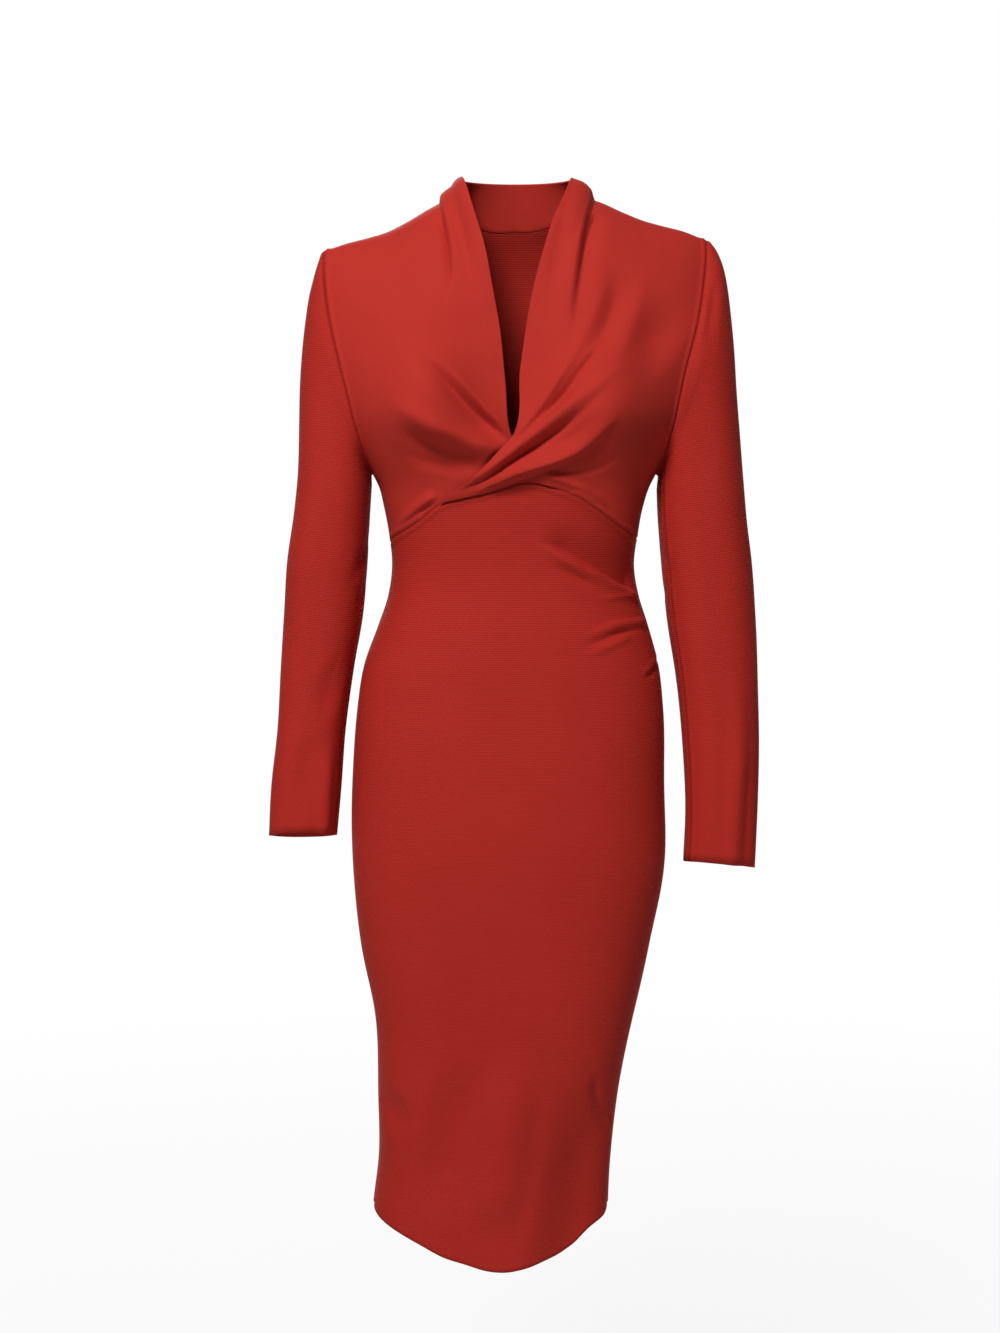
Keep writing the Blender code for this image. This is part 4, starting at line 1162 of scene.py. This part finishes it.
def knit_material(name, colour, settings, ribbed):
    """A knit: its own pattern, bump, dye with painted shade in seams and grooves, and a soft nap on the
    surface.
    """
    material = bpy.data.materials.new(name)
    material.use_nodes = True
    tree = material.node_tree
    cloth = add_node(tree, "UVMap", uv_map="cloth").outputs["UV"]
    place = add_node(tree, "TexCoord").outputs["Object"]
    seam = add_node(tree, "Attribute", attribute_name="seam").outputs["Fac"]
    if ribbed:
        pattern = place_group(tree, "Crosswise Ribs", build_ribs,
                              {"Cloth": cloth, "Pitch": settings.rib_pitch, "Stitch": settings.stitch_pitch})
        groove, depth = pattern["Groove"], settings.rib_depth
    else:
        pattern = place_group(tree, "Fine Wales", build_wales,
                              {"Cloth": cloth, "Pitch": settings.wale_pitch, "Stitch": WALE_STITCH})
        groove, depth = 0.0, settings.wale_depth
    dark_and_shaded = (channel * settings.dark_dye_and_shade_share for channel in colour)
    # The dye's clouds and flecks, with painted shade in the seams and grooves
    dyed_and_shaded = place_group(tree, "Uneven Dye And Painted Shade", build_dye_and_painted_shade, {
        "Position": place, "Colour": (*colour, 1.0), "Dark Dye And Shade Colour": (*dark_and_shaded, 1.0),
        "Seam": seam, "Groove": groove})
    relief = calc(tree, "SUBTRACT", pattern["Height"], calc(tree, "MULTIPLY", seam, SEAM_DRAW))
    if ribbed:
        fade = dict(zip(RANGE_INPUTS, RIB_FADE), Value=split(tree, place)[2])
        relief = calc(tree, "MULTIPLY", relief, add_node(tree, "MapRange", fade).outputs["Result"])
    bump = add_node(tree, "Bump", {"Strength": 1.0, "Distance": depth, "Height": relief})
    fibres = add_node(tree, "Bump", {
        "Strength": FIBRE_STRENGTH, "Distance": FIBRE_DEPTH,
        "Height": noise(tree, place, FIBRE_SCALE, 3.0), "Normal": bump.outputs["Normal"]})
    rough = calc(tree, "ADD", calc(tree, "MULTIPLY", dyed_and_shaded["Wear"], WEAR), settings.roughness - WEAR / 2)
    fill_inputs(tree, tree.nodes["Principled BSDF"], {
        "Base Color": dyed_and_shaded["Colour"],
        "Roughness": rough,
        "Normal": fibres.outputs["Normal"],
        "Specular IOR Level": SPECULAR,
        "Sheen Weight": settings.nap,
        "Sheen Roughness": SHEEN_ROUGHNESS,
        "Sheen Tint": SHEEN_TINT,
    })
    return material


# ---------------- settings

LENGTH = {"unit": "LENGTH", "precision": 4}
SHARE = {"subtype": "FACTOR"}


def number(name, description, default, least, most, **kind):
    return FloatProperty(name=name, description=description, default=default, min=least, max=most, **kind)


def colour_of(name, description, default):
    return FloatVectorProperty(
        name=name, description=description, default=default, size=3, min=0.0, max=1.0, subtype="COLOR")


class ClothSettings(bpy.types.PropertyGroup):
    thickness: number("Thickness", "Thickness of the knit", 0.0017, 0.0008, 0.004, **LENGTH)
    edge_share: number("Seam Thickness", "Share of its thickness that the cloth keeps where it is sewn",
                       0.5, 0.1, 1.0, **SHARE)
    # Painted shade: beside a seam the cloth is darkened over this width, as well as drawn in
    seam_reach: number("Seam Reach", "Width beside a seam in which the cloth is darker and drawn in",
                       0.0028, 0.0005, 0.02, **LENGTH)
    smooth_colour: colour_of("Smooth Knit", "Colour of the bodice fronts and the neck band",
                             (0.505, 0.030, 0.020))
    ribbed_colour: colour_of("Ribbed Knit", "Colour of the skirt, back and sleeves", (0.485, 0.025, 0.0165))
    # Painted shade: seams and rib grooves are darkened towards this share of the colour, as are the dye's
    # clouds and flecks
    dark_dye_and_shade_share: number("Painted Shade And Dark Dye", "Brightness of the dye in grooves and seams, as a share of the colour",
                       0.40, 0.0, 1.0, **SHARE)
    roughness: number("Roughness", "Roughness of the knit", 0.78, 0.2, 1.0, **SHARE)
    nap: number("Nap", "Strength of the soft sheen of its fibres", 0.03, 0.0, 1.0, **SHARE)
    rib_pitch: number("Rib Pitch", "Height of one crosswise rib", 0.0022, 0.001, 0.02, **LENGTH)
    rib_depth: number("Rib Depth", "Relief of the crosswise ribs", 0.00034, 0.0, 0.004, **LENGTH)
    stitch_pitch: number("Stitch Pitch", "Width of one stitch of the ribs", 0.0009, 0.0004, 0.01, **LENGTH)
    wale_pitch: number("Wale Pitch", "Width of one lengthwise wale of the smooth knit",
                       0.0012, 0.0004, 0.01, **LENGTH)
    wale_depth: number("Wale Depth", "Relief of the smooth knit", 0.00022, 0.0, 0.002, **LENGTH)


class StageSettings(bpy.types.PropertyGroup):
    floor_drop: number("Floor Drop", "Height of the hem's lowest point above the floor",
                       0.42, 0.0, 2.0, **LENGTH)
    lens: number("Lens", "Focal length of the camera", 59.4, 20.0, 200.0, unit="CAMERA")
    key_power: number("Key Light", "Power of the large soft light at the upper left",
                      90.0, 0.0, 1000.0, unit="POWER")
    fill_power: number("Fill Light", "Power of the soft light in front", 4.0, 0.0, 1000.0, unit="POWER")
    back_power: number("Back Light", "Power of the soft light behind", 46.0, 0.0, 1000.0, unit="POWER")
    ambient: number("Room Light", "Even light from all round", 0.024, 0.0, 2.0)


# ---------------- the dress

SMOOTH_PIECES = ("bodice_right", "bodice_left", "neck_band")


def knit_for(name, settings):
    """The piece's material, made the first time that knit is used."""
    ribbed = name not in SMOOTH_PIECES
    label = "Ribbed Knit" if ribbed else "Smooth Knit"
    colour = settings.ribbed_colour if ribbed else settings.smooth_colour
    return bpy.data.materials.get(label) or knit_material(label, tuple(colour), settings, ribbed)


def finish_piece(context, name):
    """Make one piece, hang it on the root and hide the part that it was cut from."""
    settings = context.scene.dress_cloth
    made = make_cloth(name + "_cloth", cut_dress()[name], settings, knit_for(name, settings))
    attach(made, "root")
    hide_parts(name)


class DRESS_OT_fronts(bpy.types.Operator):
    """Make the crossed bodice fronts, with their pleats and neck rolls"""
    bl_idname = "dress.fronts"
    bl_label = "Bodice Fronts"

    def execute(self, context):
        finish_piece(context, "bodice_right")
        finish_piece(context, "bodice_left")
        return {"FINISHED"}


class DRESS_OT_neck_band(bpy.types.Operator):
    """Make the standing band round the back of the neck"""
    bl_idname = "dress.neck_band"
    bl_label = "Neck Band"

    def execute(self, context):
        finish_piece(context, "neck_band")
        return {"FINISHED"}


class DRESS_OT_front_skirt(bpy.types.Operator):
    """Make the front of the skirt, with its tuck at the waist"""
    bl_idname = "dress.front_skirt"
    bl_label = "Front Skirt"

    def execute(self, context):
        finish_piece(context, "front_skirt")
        return {"FINISHED"}


class DRESS_OT_back(bpy.types.Operator):
    """Make the back, from the neck to the hem"""
    bl_idname = "dress.back"
    bl_label = "Back"

    def execute(self, context):
        finish_piece(context, "back")
        return {"FINISHED"}


class DRESS_OT_sleeves(bpy.types.Operator):
    """Make the two long sleeves"""
    bl_idname = "dress.sleeves"
    bl_label = "Sleeves"

    def execute(self, context):
        finish_piece(context, "sleeve_right")
        finish_piece(context, "sleeve_left")
        return {"FINISHED"}


# ---------------- the stage

CAMERA_PLACE = (-0.015, -2.2, -0.285)
CAMERA_PITCH = 4.59         # degrees below the horizontal
SENSOR = 36.0
FLOOR_SIZE = 60.0
FLOOR_WHITE = 0.80
# Nearer and farther distance from the middle, and how far the floor is backdrop there
FLOOR_FADE = (0.7, 3.2, 0.90, 1.0)
WHITE = (1.0, 1.0, 1.0, 1.0)
# Where each lamp stands, what it is aimed at, and its size
LAMPS = {
    "Key": ((-0.74, -2.2, 1.74), (0.0, 0.0, -0.45), 0.8),
    "Fill": ((-0.15, -2.8, -0.5), (0.0, 0.0, -0.5), 1.8),
    "Behind": ((-0.55, 2.9, 1.3), (0.0, 0.0, -0.5), 1.2),
}


def light_path_mask(tree):
    """1 for rays from the camera and for those reflected or passed on by gloss and glass."""
    path = add_node(tree, "LightPath").outputs
    seen = calc(tree, "MAXIMUM", path["Is Camera Ray"], path["Is Glossy Ray"])
    return calc(tree, "MAXIMUM", seen, path["Is Transmission Ray"])


def mix_to_output(tree, output, share, first, second):
    mix = add_node(tree, "MixShader", {0: share, 1: first.outputs[0], 2: second.outputs[0]})
    add_node(tree, output, {"Surface": mix.outputs[0]})


def white_world(ambient):
    """An even white backdrop that lights the dress only as much as the room would."""
    world = bpy.data.worlds.new("Studio")
    world.use_nodes = True
    tree = world.node_tree
    tree.nodes.clear()
    room = add_node(tree, "Background", {"Strength": ambient, "Color": WHITE})
    backdrop = add_node(tree, "Background", {"Color": WHITE})
    mix_to_output(tree, "OutputWorld", light_path_mask(tree), room, backdrop)
    bpy.context.scene.world = world


def floor_material():
    """Pale floor that reads as white, takes the dress's shadow and fades to the backdrop."""
    material = bpy.data.materials.new("Studio Floor")
    material.use_nodes = True
    tree = material.node_tree
    tree.nodes.clear()
    paint = add_node(tree, "BsdfDiffuse", {"Color": (FLOOR_WHITE, FLOOR_WHITE, FLOOR_WHITE, 1.0)})
    glow = add_node(tree, "Emission")
    place = add_node(tree, "TexCoord").outputs["Object"]
    away = add_node(tree, "VectorMath", {0: place}, operation="LENGTH").outputs["Value"]
    fade = dict(zip(RANGE_INPUTS, FLOOR_FADE), Value=away)
    far = add_node(tree, "MapRange", fade, interpolation_type="SMOOTHSTEP")
    share = calc(tree, "MULTIPLY", light_path_mask(tree), far.outputs["Result"])
    mix_to_output(tree, "OutputMaterial", share, paint, glow)
    return material


def area_light(name, power):
    place, target, size = LAMPS[name]
    data = bpy.data.lights.new(name, "AREA")
    data.shape = "DISK"
    data.size = size
    data.energy = power
    lamp = bpy.data.objects.new(name, data)
    lamp.location = place
    lamp.rotation_euler = (Vector(target) - Vector(place)).to_track_quat("-Z", "Y").to_euler()
    bpy.context.collection.objects.link(lamp)


class DRESS_OT_stage(bpy.types.Operator):
    """Set up the floor, the white room, the soft lights and the camera"""
    bl_idname = "dress.stage"
    bl_label = "Stage"

    def execute(self, context):
        settings = context.scene.dress_stage
        bpy.ops.object.select_all(action="DESELECT")
        low = CAD_BOX[0][2] - settings.floor_drop
        bpy.ops.mesh.primitive_plane_add(size=FLOOR_SIZE, location=(0.0, 0.0, low))
        floor = context.active_object
        floor.name = "studio_floor"
        floor.data.materials.append(floor_material())
        white_world(settings.ambient)
        for name, power in zip(LAMPS, (settings.key_power, settings.fill_power, settings.back_power)):
            area_light(name, power)
        data = bpy.data.cameras.new("Camera")
        data.sensor_fit = "VERTICAL"
        data.sensor_height = SENSOR
        data.lens = settings.lens
        camera = bpy.data.objects.new("Camera", data)
        camera.location = CAMERA_PLACE
        camera.rotation_euler = (math.radians(90.0 - CAMERA_PITCH), 0.0, 0.0)
        context.collection.objects.link(camera)
        context.scene.camera = camera
        context.scene.view_settings.view_transform = "Standard"
        return {"FINISHED"}


class DRESS_PT_panel(bpy.types.Panel):
    """Sizes, colours and steps of the dress"""
    bl_idname = "DRESS_PT_panel"
    bl_label = "Bandage Dress"
    bl_space_type = "VIEW_3D"
    bl_region_type = "UI"
    bl_category = "Dress"

    def draw(self, context):
        layout = self.layout
        for settings in (context.scene.dress_cloth, context.scene.dress_stage):
            box = layout.box()
            for name in settings.__annotations__:
                box.prop(settings, name)
        for operator in OPERATORS:
            layout.operator(operator.bl_idname)


OPERATORS = (DRESS_OT_fronts, DRESS_OT_neck_band, DRESS_OT_front_skirt, DRESS_OT_back, DRESS_OT_sleeves,
             DRESS_OT_stage)
CLASSES = (ClothSettings, StageSettings, *OPERATORS, DRESS_PT_panel)


def register():
    for item in CLASSES:
        bpy.utils.register_class(item)
    bpy.types.Scene.dress_cloth = PointerProperty(type=ClothSettings)
    bpy.types.Scene.dress_stage = PointerProperty(type=StageSettings)


def unregister():
    del bpy.types.Scene.dress_stage
    del bpy.types.Scene.dress_cloth
    for item in reversed(CLASSES):
        bpy.utils.unregister_class(item)


def main():
    register()
    bpy.ops.dress.fronts()
    bpy.ops.dress.neck_band()
    bpy.ops.dress.front_skirt()
    bpy.ops.dress.back()
    bpy.ops.dress.sleeves()
    bpy.ops.dress.stage()


if __name__ == "__main__":
    main()
